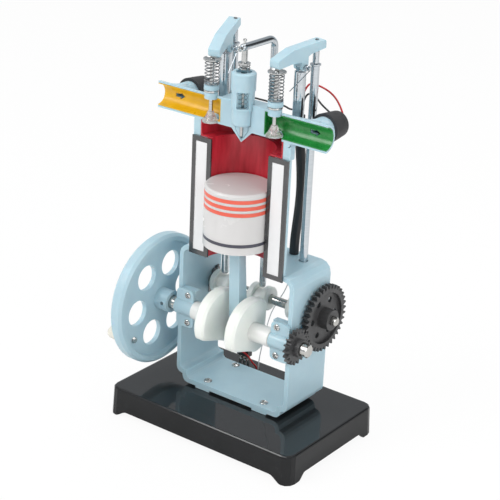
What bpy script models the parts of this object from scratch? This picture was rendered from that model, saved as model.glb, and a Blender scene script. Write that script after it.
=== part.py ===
# Hand-cranked teaching model of a single-cylinder four stroke engine, cut open along its middle plane.
# X runs along the crankshaft (flywheel at -X, timing gears at +X), -Y is the open front, +Z is up.

import math

import bmesh
import bpy
from mathutils import Matrix, Vector

MM = 0.001

# Gap between pieces that touch, running gap round shafts, and the overrun of every cutter
TOUCH = 0.3 * MM
RUNNING = 0.35 * MM
OVERRUN = 2 * MM

# Base: one moulded tray, open below, standing on four corner feet
BASE_LENGTH = 200 * MM
BASE_WIDTH = 128.8 * MM
BASE_HEIGHT = 27.3 * MM
BASE_DRAFT = 1 * MM
BASE_WALL = 2.6 * MM
BASE_CORNER = 9 * MM
BASE_EDGE = 2 * MM
ARCH_HEIGHT = 6 * MM
FRONT_FOOT = 8 * MM
FRONT_FOOT_SLOPE = 13 * MM
SIDE_FOOT = 15 * MM
SIDE_FOOT_SLOPE = 9 * MM
WIRE_HOLE_RADIUS = 2.2 * MM
BATTERY_LENGTH = 62 * MM
BATTERY_WIDTH = 32 * MM
BATTERY_DEPTH = 16 * MM

# The cut plane holds the cylinder axis and the crank axis
PLANE_Y = -17 * MM
CRANK_RISE = 76.4 * MM
CAM_BACK = 41.2 * MM

# Crank frame: a moulded loop screwed to the base
FRAME_WIDTH = 123.4 * MM
FRAME_DEPTH = 55.2 * MM
FRAME_TOP = 136 * MM
FRAME_WALL = 4.1 * MM
FRAME_FLOOR = 4.5 * MM
FRAME_LIFT = 2 * MM
FRAME_TOP_RADIUS = 10 * MM
FRAME_STEP_WIDTH = 7 * MM
FRAME_STEP_HEIGHT = 7.6 * MM
FRAME_STEP_RADIUS = 6 * MM
FRAME_EDGE_RADIUS = 0.8 * MM
RAIL_INNER = 24 * MM
RAIL_WIDTH = 15.5 * MM
FRAME_SCREW_X = 31.5 * MM
FRAME_SCREW_INSET = 6 * MM

# Screws with round heads
SCREW_HEAD = 2.7 * MM
SCREW_HEAD_HEIGHT = 1.9 * MM
SCREW_SHANK = 1.3 * MM

# Crank bearings: a seat on each wall and a screwed cap in front
BEARING_INNER = 42.5 * MM
BEARING_OUTER = 61.5 * MM
BEARING_RADIUS = 7.8 * MM
EAR_HEIGHT = 18 * MM
EAR_THICKNESS = 2.8 * MM
EAR_WIDTH = 19 * MM
EAR_RADIUS = 4 * MM
EAR_SCREW = 13.2 * MM
EAR_SCREW_INSET = 6.25 * MM
SEAT_DEPTH = 6 * MM

# Crank
SHAFT_RADIUS = 6 * MM
SHAFT_RIGHT_END = 81 * MM
SHAFT_LEFT_END = 90.5 * MM
SHAFT_CHAMFER = 0.8 * MM
THROW = 14 * MM
CRANK_ANGLE = math.radians(-55.5)
PIN_RADIUS = 5 * MM
WEB_INNER = 11 * MM
WEB_THICKNESS = 11 * MM
WEB_RADIUS = 29 * MM
WEB_SECTOR = math.radians(80)
WEB_LOBE = 11.5 * MM
WEB_EDGE = 2 * MM
HUB_RADIUS = 8.5 * MM

# Flywheel and its handle
FLYWHEEL_RADIUS = 61 * MM
FLYWHEEL_INNER = 78 * MM
FLYWHEEL_WIDTH = 12.5 * MM
FLYWHEEL_RIM = 7.5 * MM
FLYWHEEL_WEB = 4.5 * MM
FLYWHEEL_EDGE = 2.5 * MM
FLYWHEEL_HUB = 10 * MM
FLYWHEEL_HUB_END = 68.5 * MM
FLYWHEEL_HOLE = 12 * MM
FLYWHEEL_HOLE_CIRCLE = 32.5 * MM
FLYWHEEL_HOLE_START = math.radians(8.4)
HANDLE_CIRCLE = 47 * MM
HANDLE_ANGLE = math.radians(218.4)
HANDLE_RADIUS = 6.2 * MM
HANDLE_LENGTH = 20 * MM
HANDLE_NECK = 4.4 * MM
HANDLE_SCREW_RADIUS = 2 * MM
HANDLE_SCREW_HEAD = 3.2 * MM
SET_SCREW_RADIUS = 2 * MM

# Timing gears
GEAR_MODULE = 1.6 * MM
CRANK_TEETH = 18
CAM_TEETH = 36
GEAR_INNER = 64 * MM
GEAR_WIDTH = 5.4 * MM
CRANK_GEAR_HUB = 8 * MM
CRANK_GEAR_HUB_END = 74.5 * MM
CAM_GEAR_HUB = 9.3 * MM
CAM_GEAR_HUB_END = 76 * MM
CAM_GEAR_HOLE = 2.9 * MM
CAM_GEAR_HOLE_CIRCLE = 16.5 * MM
CAM_GEAR_RIM = 23.5 * MM
CAM_GEAR_WEB = 2.4 * MM

# Camshaft and the three spool cams
CAMSHAFT_RADIUS = 4.2 * MM
CAMSHAFT_RIGHT_END = 80.5 * MM
CAM_FLANGE = 11 * MM
CAM_BASE = 6.6 * MM
CAM_LIFT = 1.6 * MM
INTAKE_PEAK = math.radians(90)
INJECTOR_PEAK = math.radians(200)
EXHAUST_PEAK = math.radians(-20)
CAM_WIDTH = 20 * MM
CAM_GROOVE = 9.4 * MM
CAM_EDGE = 1 * MM

# Connecting rod
ROD_DROP = 36.8 * MM
ROD_WIDTH = 10.6 * MM
ROD_BIG_END = 10.5 * MM
ROD_SMALL_END = 4.6 * MM
ROD_WAIST_BOTTOM = 6.4 * MM
ROD_WAIST_TOP = 3.9 * MM
GUDGEON_RADIUS = 2.6 * MM

# Piston
PISTON_RADIUS = 29.5 * MM
PISTON_HEIGHT = 53.4 * MM
PISTON_TOP = 206.5 * MM
PISTON_CROWN = 3.6 * MM
PISTON_WALL = 1.9 * MM
PISTON_EDGE = 1.5 * MM
RING_WIDTH = 3.5 * MM
RING_DEPTH = 0.9 * MM
RING_PITCH = 5.75 * MM
RING_TOP = 4.25 * MM
OIL_RING_WIDTH = 3 * MM
OIL_RING_RISE = 6.7 * MM

# Cylinder: a half shell with a top flange and flat wings on the cut plane
BORE_RADIUS = 30 * MM
LINER_WALL = 1.2 * MM
CYLINDER_RADIUS = 36 * MM
WING_INNER = 30 * MM
WING_OUTER = 50.3 * MM
WING_DEPTH = 3 * MM
CYLINDER_TOP = 239 * MM
TOP_FLANGE = 3.4 * MM
PANEL_THICKNESS = 1.5 * MM
PANEL_DROP = 5 * MM
PANEL_BORDER = 4.3 * MM
PANEL_SINK = 0.4 * MM

# The pillar that leads the injector's rod down through the head
PILLAR_RADIUS = 5.6 * MM

# Cylinder head with its chamber, ports and stubs
ROOF = 254 * MM
ROOF_THICKNESS = 4.2 * MM
CHAMBER_RADIUS = 41.5 * MM
CHAMBER_WALL = 2 * MM
CHEEK_DEPTH = 6.5 * MM
HEAD_RADIUS = 50.3 * MM
BLOCK_HALF = 24 * MM
BLOCK_TOP = 277.5 * MM
BLOCK_DEPTH = 14.6 * MM
PORT_RISE = 265.7 * MM
PORT_RADIUS = 11.8 * MM
PORT_WALL = 1.7 * MM
PORT_LINING = 0.7 * MM
INTAKE_PORT_END = 90.5 * MM
EXHAUST_PORT_END = 84.7 * MM
PORT_START = 22.7 * MM
INTAKE_STUB_X = 73.2 * MM
EXHAUST_STUB_X = 67.5 * MM
STUB_RADIUS = 10.4 * MM
STUB_WALL = 1.6 * MM
STUB_END = 14 * MM
ARROW_LENGTH = 10 * MM
ARROW_HEIGHT = 6.4 * MM
ARROW_TAIL = 3.2 * MM
ARROW_HEAD_SHARE = 0.45
CAP_FRONT_RADIUS = 13.4 * MM
CAP_BACK_RADIUS = 11.4 * MM
CAP_FRONT = 4.6 * MM
CAP_BACK = 25 * MM
CAP_WALL = 2 * MM
BULB_RADIUS = 4 * MM
BULB_LENGTH = 12 * MM
BULB_NECK = 3 * MM
BULB_BASE_LENGTH = 10 * MM

# Valves
VALVE_X = 33 * MM
VALVE_LIFT = 2.7 * MM
VALVE_SINK = 2.7 * MM
STEM_RADIUS = 1.9 * MM
STEM_TOP = 313.4 * MM
VALVE_HEAD = 7.3 * MM
VALVE_CONE = 8.5 * MM
VALVE_RIM = 0.9 * MM
VALVE_DOME = 1.1 * MM
SEAT_RADIUS = 7.8 * MM
GUIDE_BOTTOM = 274.5 * MM
GUIDE_TOP = 286.4 * MM
GUIDE_RADIUS = 6 * MM
GUIDE_FLANGE = 6.7 * MM
GUIDE_FLANGE_HEIGHT = 4 * MM
GUIDE_GROOVE = 0.9 * MM
GUIDE_GROOVE_HEIGHT = 2.4 * MM
RETAINER_RADIUS = 8 * MM
RETAINER_BOTTOM = 309 * MM
RETAINER_HEIGHT = 2.6 * MM
SPRING_RADIUS = 5.9 * MM
SPRING_WIRE = 0.55 * MM
SPRING_CURLS = 5.5

# Rocker arms on forked posts
PUSHROD_X = 42 * MM
PIVOT_SHARE = 0.609
PIVOT_RISE = 312 * MM
ROCKER_WIDTH = 10 * MM
ROCKER_EDGE = 1.2 * MM
LUG_SLOT = 2.3 * MM
INTAKE_SLACK = math.radians(5.5)
NOSE_REACH = 29.5 * MM
NOSE_BOTTOM = 1.7 * MM
NOSE_TOP = 9 * MM
KNEE_REACH = 12.8 * MM
KNEE_TOP = 16 * MM
KNEE_BOTTOM = 4.6 * MM
TAIL_REACH = 22.6 * MM
TAIL_TOP = 20.4 * MM
TAIL_BOTTOM = 13 * MM
TAIL_KNEE = 6.5 * MM
TAIL_KNEE_BOTTOM = 10 * MM
LUG_HALF = 3.7 * MM
PIN_RADIUS_SMALL = 1.3 * MM
POST_RADIUS = 5 * MM
POST_DROP = 4.5 * MM
TONGUE_HALF = 1.9 * MM
TONGUE_RADIUS = 3.3 * MM
TORSION_COIL = 2.3 * MM
TORSION_WIRE = 0.4 * MM
TORSION_CURLS = 2.5
TORSION_PITCH = 1.4 * MM
TORSION_LEG = 20 * MM
TORSION_SLOPE = 0.67

# Pushrods
PUSHROD_RADIUS = 3.7 * MM
PUSHROD_TIP = 2.8 * MM
PUSHROD_TIP_LENGTH = 11.4 * MM
COLLAR_RADIUS = 4.8 * MM
COLLAR_HEIGHT = 2.6 * MM
ROD_HOLE_GAP = 0.6 * MM

# Injector with its bent rod
INJECTOR_RADIUS = 10.6 * MM
INJECTOR_WAIST = 9.8 * MM
INJECTOR_FOOT = 8.8 * MM
INJECTOR_BOTTOM = 259 * MM
INJECTOR_TOP = 304.5 * MM
WINDOW_WIDTH = 10.2 * MM
WINDOW_TURN = math.radians(36)
WINDOW_LEDGE = 1.2 * MM
WINDOW_BOTTOM = 274 * MM
WINDOW_TOP = 289 * MM
INJECTOR_BORE = 6 * MM
INJECTOR_FLOOR = 3 * MM
INJECTOR_CEILING = 4.5 * MM
INJECTOR_CUP = 6.7 * MM
INJECTOR_CUP_DEPTH = 2.5 * MM
NEEDLE_RADIUS = 1.4 * MM
NEEDLE_COLLAR = 4.6 * MM
NEEDLE_COLLAR_HEIGHT = 1.6 * MM
NEEDLE_COLLAR_RISE = 267.6 * MM
NEEDLE_TIP = 246.6 * MM
INJECTOR_STEM = 2.9 * MM
NUT_RADIUS = 5.2 * MM
NUT_HEIGHT = 2 * MM
NUT_RISE = 310.5 * MM
NOSE_RADIUS = 11 * MM
NOSE_TIP = 243.6 * MM
NOZZLE_RADIUS = 6.6 * MM
NOZZLE_TIP = 245.4 * MM
INJECTOR_SPRING_RADIUS = 3.7 * MM
INJECTOR_SPRING_WIRE = 0.5 * MM
INJECTOR_SPRING_CURLS = 8
BENT_ROD_RADIUS = 3.3 * MM
BENT_ROD_TOP = 325 * MM
BENT_ROD_BEND = 8 * MM
BENT_ROD_REACH = 4 * MM

# Wires, sleeve and contacts
WIRE_RADIUS = 0.8 * MM
THIN_WIRE_RADIUS = 0.5 * MM
WIRE_BEND = 4.8 * MM
WIRE_TUCK = 5 * MM
WIRE_SPREAD = 1.5 * MM
WIRE_BACK = 6 * MM
THIN_STEP = 4 * MM
RED_STEP = 1 * MM
RED_RISE = 26.5 * MM
BLACK_RISE = 17 * MM
LEFT_RISE = 2 * MM
RED_FALL = 0.7
SLEEVE_RADIUS = 4.3 * MM
SLEEVE_BORE = 3 * MM
SLEEVE_X = 27 * MM
SLEEVE_BACK = 48 * MM
SLEEVE_TOP = 262 * MM
SLEEVE_BOW = 3.5 * MM
SWITCH_X = -35 * MM
SWITCH_Y = 50 * MM
SWITCH_WIDTH = 12.6 * MM
SWITCH_DEPTH = 6.4 * MM
SWITCH_HEIGHT = 12 * MM
SWITCH_PIN_WIDTH = 1.8 * MM
SWITCH_PIN_THICKNESS = 0.7 * MM
SWITCH_PIN_LENGTH = 9.5 * MM
SWITCH_PIN_PITCH = 4.6 * MM
CONTACT_WIDTH = 6 * MM
CONTACT_THICKNESS = 0.6 * MM
CONTACT_HEIGHT = 26 * MM
CONTACT_FOOT = 7 * MM
CONTACT_SCREW_RISE = 8 * MM

# Sides of round pieces
FINE = 32
ROUND = 24
SMALL = 14
TINY = 8

HALF_STEP = math.pi / SMALL / 2
CURL_POINTS = 8

# Places that follow from the sizes
ENGINE_X = 0.5 * (FLYWHEEL_INNER + FLYWHEEL_WIDTH + HANDLE_LENGTH - BASE_LENGTH / 2 - BASE_DRAFT)
ENGINE_Y = 0.5 * (FLYWHEEL_RADIUS - PLANE_Y - BASE_WIDTH / 2 - BASE_DRAFT)
DECK = BASE_HEIGHT
CRANK_Z = DECK + CRANK_RISE
GEAR_DISTANCE = GEAR_MODULE * (CRANK_TEETH + CAM_TEETH) / 2
CAM_Y = PLANE_Y + CAM_BACK
CAM_Z = CRANK_Z + math.sqrt(GEAR_DISTANCE ** 2 - CAM_BACK ** 2)
PIN_Y = PLANE_Y + THROW * math.cos(CRANK_ANGLE)
PIN_Z = CRANK_Z + THROW * math.sin(CRANK_ANGLE)
GUDGEON_Z = DECK + PISTON_TOP - ROD_DROP
FRAME_BACK = PLANE_Y + FRAME_DEPTH
HANDLE_Y = PLANE_Y + HANDLE_CIRCLE * math.cos(HANDLE_ANGLE)
HANDLE_Z = CRANK_Z + HANDLE_CIRCLE * math.sin(HANDLE_ANGLE)
FOLLOWER_Z = CAM_Z + CAM_BASE + CAM_LIFT + TOUCH

ARM_ANGLE = math.atan2(PUSHROD_X - VALVE_X, CAM_BACK)
ARM_SPAN = math.hypot(PUSHROD_X - VALVE_X, CAM_BACK)
VALVE_REACH = PIVOT_SHARE * ARM_SPAN
PUSHROD_REACH = ARM_SPAN - VALVE_REACH
PIVOT_X = VALVE_X + VALVE_REACH * math.sin(ARM_ANGLE)
PIVOT_Y = PLANE_Y + VALVE_REACH * math.cos(ARM_ANGLE)
OPEN_TILT = math.asin(VALVE_LIFT / VALVE_REACH)
PUSHROD_LIFT = PUSHROD_REACH * math.sin(OPEN_TILT)


def clear_scene():
    for item in list(bpy.data.objects):
        bpy.data.objects.remove(item, do_unlink=True)


def paint(name, red, green, blue, roughness, metallic):
    """A Principled material with one colour, given as shares of full red, green and blue."""
    material = bpy.data.materials.new(name)
    material.use_nodes = True
    shader = material.node_tree.nodes["Principled BSDF"]
    shader.inputs["Base Color"].default_value = (red, green, blue, 1)
    shader.inputs["Roughness"].default_value = roughness
    shader.inputs["Metallic"].default_value = metallic
    material.diffuse_color = (red, green, blue, 1)
    return material


def place_empty(name, x, y, z, parent=None, turn=None):
    """An empty at an engine place, such as a joint's axis."""
    empty = bpy.data.objects.new(name, None)
    bpy.context.scene.collection.objects.link(empty)
    spot = Matrix.Translation((x, y, z))
    if turn is not None:
        spot = spot @ turn
    if parent is not None:
        empty.parent = parent
        spot = parent.matrix_basis @ spot
        empty.matrix_parent_inverse = parent.matrix_basis.inverted()
    empty.matrix_basis = spot
    return empty


def to_object(name, mesh_edit):
    """Link the finished bmesh as an object, shaded smooth except at sharp edges."""
    bmesh.ops.remove_doubles(mesh_edit, verts=mesh_edit.verts, dist=0.001 * MM)
    bmesh.ops.recalc_face_normals(mesh_edit, faces=mesh_edit.faces)
    mesh = bpy.data.meshes.new(name)
    mesh_edit.to_mesh(mesh)
    mesh_edit.free()
    mesh.shade_smooth()
    mesh.set_sharp_from_angle(angle=math.radians(35))
    thing = bpy.data.objects.new(name, mesh)
    bpy.context.scene.collection.objects.link(thing)
    return thing


def axis_point(axis, along, across, up):
    """The point at a distance along an axis, with two coordinates across it in the order X, Y, Z."""
    if axis == "X":
        return Vector((along, across, up))
    if axis == "Y":
        return Vector((across, along, up))
    return Vector((across, up, along))


def loft(name, rings):
    """A closed body through rings of equally many points, capped at both ends."""
    shape = bmesh.new()
    rows = [[shape.verts.new(point) for point in ring] for ring in rings]
    count = len(rows[0])
    for near, far in zip(rows, rows[1:]):
        for k in range(count):
            shape.faces.new((near[k], near[(k + 1) % count], far[(k + 1) % count], far[k]))
    shape.faces.new(rows[0])
    shape.faces.new(rows[-1])
    return to_object(name, shape)


def prism(name, axis, outline, low, high):
    """An outline in the plane across the axis, drawn out from low to high."""
    return loft(name, [[axis_point(axis, along, u, v) for u, v in outline] for along in (low, high)])


def circle(u, v, radius, sides, start=0.0):
    turn = 2 * math.pi / sides
    return [(u + radius * math.cos(start + k * turn),
             v + radius * math.sin(start + k * turn)) for k in range(sides)]


def rod(name, axis, u, v, radius, low, high, sides=ROUND, start=0.0):
    return prism(name, axis, circle(u, v, radius, sides, start), low, high)


def box(name, x_span, y_span, z_span):
    outline = [(x_span[0], y_span[0]), (x_span[1], y_span[0]), (x_span[1], y_span[1]),
               (x_span[0], y_span[1])]
    return prism(name, "Z", outline, z_span[0], z_span[1])


def filleted(corners, steps=3):
    """An outline with a round of its own radius at each corner (u, v, radius)."""
    outline = []
    for k, (u, v, radius) in enumerate(corners):
        here = Vector((u, v))
        if radius == 0:
            outline.append((u, v))
            continue
        before = (Vector(corners[k - 1][:2]) - here).normalized()
        after = (Vector(corners[(k + 1) % len(corners)][:2]) - here).normalized()
        half = before.angle(after) / 2
        centre = here + (before + after).normalized() * (radius / math.sin(half))
        first = here + before * (radius / math.tan(half)) - centre
        last = here + after * (radius / math.tan(half)) - centre
        sweep = first.angle_signed(last)
        for step in range(steps + 1):
            turned = Matrix.Rotation(-sweep * step / steps, 2) @ first
            outline.append(tuple(centre + turned))
    return outline


def turned(name, axis, u, v, profile, sides=ROUND, closed=False):
    """A profile of (radius, along) turned round an axis; closed joins its ends into a ring."""
    shape = bmesh.new()
    turn = 2 * math.pi / sides
    rows = []
    for radius, along in profile:
        if radius == 0:
            rows.append([shape.verts.new(axis_point(axis, along, u, v))] * sides)
            continue
        ring = []
        for k in range(sides):
            across = u + radius * math.cos(k * turn)
            up = v + radius * math.sin(k * turn)
            ring.append(shape.verts.new(axis_point(axis, along, across, up)))
        rows.append(ring)
    pairs = list(zip(rows, rows[1:]))
    if closed:
        pairs.append((rows[-1], rows[0]))
    for near, far in pairs:
        for k in range(sides):
            after = (k + 1) % sides
            corners = []
            for corner in (near[k], near[after], far[after], far[k]):
                if corner not in corners:
                    corners.append(corner)
            if len(corners) > 2:
                shape.faces.new(corners)
    if not closed:
        for row in (rows[0], rows[-1]):
            if row[0] is not row[1]:
                shape.faces.new(row)
    return to_object(name, shape)


def combine(thing, tool, operation):
    """Cut a tool from a body or join it on, and keep the result as the body's own mesh."""
    change = thing.modifiers.new(operation.lower(), "BOOLEAN")
    change.operation = operation
    change.object = tool
    bpy.context.view_layer.update()
    graph = bpy.context.evaluated_depsgraph_get()
    mesh = bpy.data.meshes.new_from_object(thing.evaluated_get(graph))
    thing.modifiers.clear()
    thing.data = mesh
    mesh.shade_smooth()
    mesh.set_sharp_from_angle(angle=math.radians(35))
    bpy.data.objects.remove(tool, do_unlink=True)
    return thing


def cut(thing, *tools):
    for tool in tools:
        combine(thing, tool, "DIFFERENCE")
    return thing


def join(thing, *tools):
    for tool in tools:
        combine(thing, tool, "UNION")
    return thing


def front_block(reach, low, high):
    """A tool that takes away all that lies before the cut plane."""
    return box("front", (-reach, reach), (PLANE_Y - reach, PLANE_Y), (low, high))


def give(thing, material, parent):
    """Hand a finished piece its material and the empty that carries it, where it was modelled."""
    thing.data.materials.clear()
    thing.data.materials.append(material)
    thing.parent = parent
    thing.matrix_parent_inverse = parent.matrix_basis.inverted()
    return thing


def smooth_route(points, step):
    """Points read at an even step from a smooth Catmull-Rom curve through the route."""
    route = [Vector(point) for point in points]
    ends = [2 * route[0] - route[1]] + route + [2 * route[-1] - route[-2]]
    fine = []
    for k in range(1, len(ends) - 2):
        a, b, c, d = ends[k - 1:k + 3]
        for part in range(20):
            t = part / 20
            fine.append(0.5 * (2 * b + (c - a) * t + (2 * a - 5 * b + 4 * c - d) * t ** 2
                               + (3 * b - a - 3 * c + d) * t ** 3))
    fine.append(route[-1])
    length = sum((q - p).length for p, q in zip(fine, fine[1:]))
    count = max(3, round(length / step))
    even = [fine[0]]
    walked = 0
    for p, q in zip(fine, fine[1:]):
        piece = (q - p).length
        while len(even) < count and walked + piece >= length * len(even) / count:
            even.append(p.lerp(q, (length * len(even) / count - walked) / piece))
        walked += piece
    even.append(fine[-1])
    return even


def tube(name, points, radius, resolution=2):
    """A round tube along points, with filled ends, turned into a mesh."""
    line = bpy.data.curves.new(name, "CURVE")
    line.dimensions = "3D"
    line.bevel_depth = radius
    line.bevel_resolution = resolution
    line.use_fill_caps = True
    spline = line.splines.new("POLY")
    spline.points.add(len(points) - 1)
    for place, point in zip(spline.points, points):
        place.co = (point[0], point[1], point[2], 1)
    guide = bpy.data.objects.new(name + "_line", line)
    bpy.context.scene.collection.objects.link(guide)
    bpy.context.view_layer.update()
    graph = bpy.context.evaluated_depsgraph_get()
    shape = bmesh.new()
    shape.from_mesh(guide.evaluated_get(graph).to_mesh())
    bpy.data.objects.remove(guide, do_unlink=True)
    return to_object(name, shape)


def coil_points(centre, radius, bottom, top, curls, wire):
    """A compression spring's line: flat end curls, an even climb between."""
    end_climb = 2 * wire + 2 * TOUCH
    low = bottom + wire + TOUCH
    high = top - wire - TOUCH
    count = round(curls * CURL_POINTS)
    points = []
    for k in range(count + 1):
        turns = curls * k / count
        if turns < 1:
            z = low + end_climb * turns ** 2
        elif turns > curls - 1:
            z = high - end_climb * (curls - turns) ** 2
        else:
            z = low + end_climb + (high - low - 2 * end_climb) * (turns - 1) / (curls - 2)
        angle = 2 * math.pi * turns
        points.append((centre[0] + radius * math.cos(angle), centre[1] + radius * math.sin(angle), z))
    return points


def least_gap(name, points, wire, apart):
    """Print the least gap of a wound tube to itself, measured on its points."""
    least = min((Vector(p) - Vector(q)).length for k, p in enumerate(points) for q in points[k + apart:])
    print(name, "least gap to itself", round((least - 2 * wire) / MM, 2), "mm")


def spring(name, centre, radius, bottom, top, curls, wire):
    points = coil_points(centre, radius, bottom, top, curls, wire)
    least_gap(name, points, wire, 6)
    return tube(name, points, wire, 1)


def make_base():
    """The tray: drafted walls, a rounded top edge, and arches that leave four feet."""
    def ring(z, inset, edge_inset=0.0):
        spread = BASE_DRAFT * (1 - z / BASE_HEIGHT)
        half_x = BASE_LENGTH / 2 + spread - inset - edge_inset
        half_y = BASE_WIDTH / 2 + spread - inset - edge_inset
        corner = BASE_CORNER - edge_inset if inset == 0 else BASE_CORNER - inset
        corners = [(half_x, half_y, corner), (-half_x, half_y, corner),
                   (-half_x, -half_y, corner), (half_x, -half_y, corner)]
        return [Vector((x, y, z)) for x, y in filleted(corners)]

    rings = [ring(BASE_HEIGHT - BASE_WALL, BASE_WALL), ring(0, BASE_WALL), ring(0, 0)]
    for step in range(4):
        bend = math.radians(30 * step)
        inset = BASE_EDGE * (1 - math.cos(bend))
        rings.append(ring(BASE_HEIGHT - BASE_EDGE * (1 - math.sin(bend)), 0, inset))
    base = loft("base", rings)

    def arch(axis, half, foot, slope, reach):
        """The S-curved opening between two feet, cut through both walls."""
        foot_end = half + BASE_DRAFT - foot
        side = []
        for step in range(7):
            t = step / 6
            side.append((foot_end - slope * t, ARCH_HEIGHT * t * t * (3 - 2 * t)))
        outline = [(foot_end, -OVERRUN)] + side + [(-u, v) for u,
                                                   v in reversed(side)] + [(-foot_end, -OVERRUN)]
        return prism("arch", axis, outline, -reach, reach)

    top = BASE_HEIGHT - BASE_WALL / 2
    join(base, box("battery_box", (-BATTERY_LENGTH / 2, BATTERY_LENGTH / 2),
                   (-BATTERY_WIDTH / 2, BATTERY_WIDTH / 2),
                   (top - BATTERY_DEPTH, top)))
    cut(base, arch("Y", BASE_LENGTH / 2, FRONT_FOOT, FRONT_FOOT_SLOPE, BASE_WIDTH))
    cut(base, arch("X", BASE_WIDTH / 2, SIDE_FOOT, SIDE_FOOT_SLOPE, BASE_LENGTH))
    hole = rod("hole", "Z", SWITCH_X + 2 * SWITCH_PIN_PITCH + SWITCH_WIDTH / 2, SWITCH_Y, WIRE_HOLE_RADIUS,
               BASE_HEIGHT - BASE_WALL - OVERRUN, BASE_HEIGHT + OVERRUN, TINY)
    cut(base, hole)
    for x, y in frame_screw_places():
        cut(base, rod("hole", "Z", x, y, SCREW_SHANK + TOUCH, DECK - BASE_WALL - OVERRUN,
                      DECK + OVERRUN, TINY))
    return base


def frame_screw_places():
    front = PLANE_Y + FRAME_SCREW_INSET
    back = FRAME_BACK - FRAME_SCREW_INSET
    return [(side * FRAME_SCREW_X, y) for side in (-1, 1) for y in (front, back)]


def frame_outline(inset, floor):
    """Half of the loop's outline, mirrored: round top corners and stepped lower ones."""
    half = FRAME_WIDTH / 2 - inset
    step_z = FRAME_LIFT + FRAME_STEP_HEIGHT + inset
    step_x = half - FRAME_STEP_WIDTH
    right = [(half, FRAME_TOP - inset, FRAME_TOP_RADIUS - inset),
             (half, step_z, FRAME_STEP_RADIUS - inset / 2),
             (step_x, step_z, FRAME_EDGE_RADIUS), (step_x, floor, FRAME_STEP_RADIUS - inset / 2)]
    left = [(-x, z, radius) for x, z, radius in reversed(right)]
    return filleted([(x, z + DECK, radius) for x, z, radius in right + left])


def make_frame():
    frame = prism("crank_frame", "Y", frame_outline(0, FRAME_LIFT), PLANE_Y, FRAME_BACK)
    for side in (-1, 1):
        inner = side * RAIL_INNER
        outer = side * (RAIL_INNER + RAIL_WIDTH)
        join(frame, box("rail", sorted((inner, outer)), (PLANE_Y, FRAME_BACK),
                        (DECK + TOUCH, DECK + FRAME_LIFT + FRAME_FLOOR / 2)))
    window = prism("window", "Y", frame_outline(FRAME_WALL, FRAME_LIFT + FRAME_FLOOR),
                   PLANE_Y - OVERRUN, FRAME_BACK + OVERRUN)
    cut(frame, window)
    for side in (-1, 1):
        wall = side * (FRAME_WIDTH / 2 - FRAME_WALL / 2)
        seat = box("seat", sorted((wall, side * BEARING_INNER)), (PLANE_Y, PLANE_Y + SEAT_DEPTH),
                   (CRANK_Z - EAR_HEIGHT, CRANK_Z + EAR_HEIGHT))
        barrel = rod("barrel", "X", PLANE_Y, CRANK_Z, BEARING_RADIUS,
                     *sorted((side * BEARING_OUTER, side * (BEARING_INNER + TOUCH))))
        cut(barrel, front_block(FRAME_WIDTH, DECK, DECK + FRAME_TOP))
        join(frame, seat, barrel)
        for rise in (-EAR_SCREW, EAR_SCREW):
            x = side * (BEARING_INNER + EAR_SCREW_INSET)
            cut(frame, rod("hole", "Y", x, CRANK_Z + rise, SCREW_SHANK + TOUCH,
                           PLANE_Y - OVERRUN, PLANE_Y + SEAT_DEPTH + OVERRUN, TINY))
    cut(frame, rod("bore", "X", PLANE_Y, CRANK_Z, SHAFT_RADIUS + RUNNING, -FRAME_WIDTH, FRAME_WIDTH))
    cut(frame, rod("bore", "X", CAM_Y, CAM_Z, CAMSHAFT_RADIUS + RUNNING, -FRAME_WIDTH, FRAME_WIDTH, SMALL))
    plate = (DECK + FRAME_TOP - FRAME_WALL - OVERRUN, DECK + FRAME_TOP + OVERRUN)
    cut(frame, rod("throat", "Z", 0, PLANE_Y, BORE_RADIUS + LINER_WALL, *plate))
    for x in (-PUSHROD_X, 0, PUSHROD_X):
        cut(frame, rod("guide", "Z", x, CAM_Y, PUSHROD_RADIUS + ROD_HOLE_GAP, *plate, SMALL))
    cut(frame, rod("sleeve_hole", "Z", SLEEVE_X, PLANE_Y + SLEEVE_BACK, SLEEVE_BORE, *plate, TINY))
    for x, y in frame_screw_places():
        cut(frame, rod("hole", "Z", x, y, SCREW_SHANK + TOUCH, DECK - OVERRUN,
                       DECK + FRAME_LIFT + FRAME_FLOOR + OVERRUN, TINY))
    return frame


def make_bearing_cap(name, side):
    """The half sleeve with two ears that closes a crank bearing from the front."""
    face = PLANE_Y - TOUCH
    barrel = rod(name, "X", PLANE_Y, CRANK_Z, BEARING_RADIUS,
                 *sorted((side * BEARING_OUTER, side * BEARING_INNER)))
    ear_outer = side * (BEARING_INNER + EAR_WIDTH)
    corners = [(side * BEARING_INNER, CRANK_Z - EAR_HEIGHT, EAR_RADIUS),
               (ear_outer, CRANK_Z - EAR_HEIGHT, EAR_RADIUS),
               (ear_outer, CRANK_Z + EAR_HEIGHT, EAR_RADIUS),
               (side * BEARING_INNER, CRANK_Z + EAR_HEIGHT, EAR_RADIUS)]
    ears = prism("ears", "Y", filleted(corners), face - EAR_THICKNESS, face)
    join(barrel, ears)
    cut(barrel, box("back", (-FRAME_WIDTH, FRAME_WIDTH), (face, face + FRAME_WIDTH),
                    (DECK, DECK + FRAME_TOP)))
    cut(barrel, rod("bore", "X", PLANE_Y, CRANK_Z, SHAFT_RADIUS + RUNNING, -FRAME_WIDTH, FRAME_WIDTH))
    for rise in (-EAR_SCREW, EAR_SCREW):
        x = side * (BEARING_INNER + EAR_SCREW_INSET)
        cut(barrel, rod("hole", "Y", x, CRANK_Z + rise, SCREW_SHANK + TOUCH,
                        face - EAR_THICKNESS - OVERRUN, face + OVERRUN, TINY))
    return barrel


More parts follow.
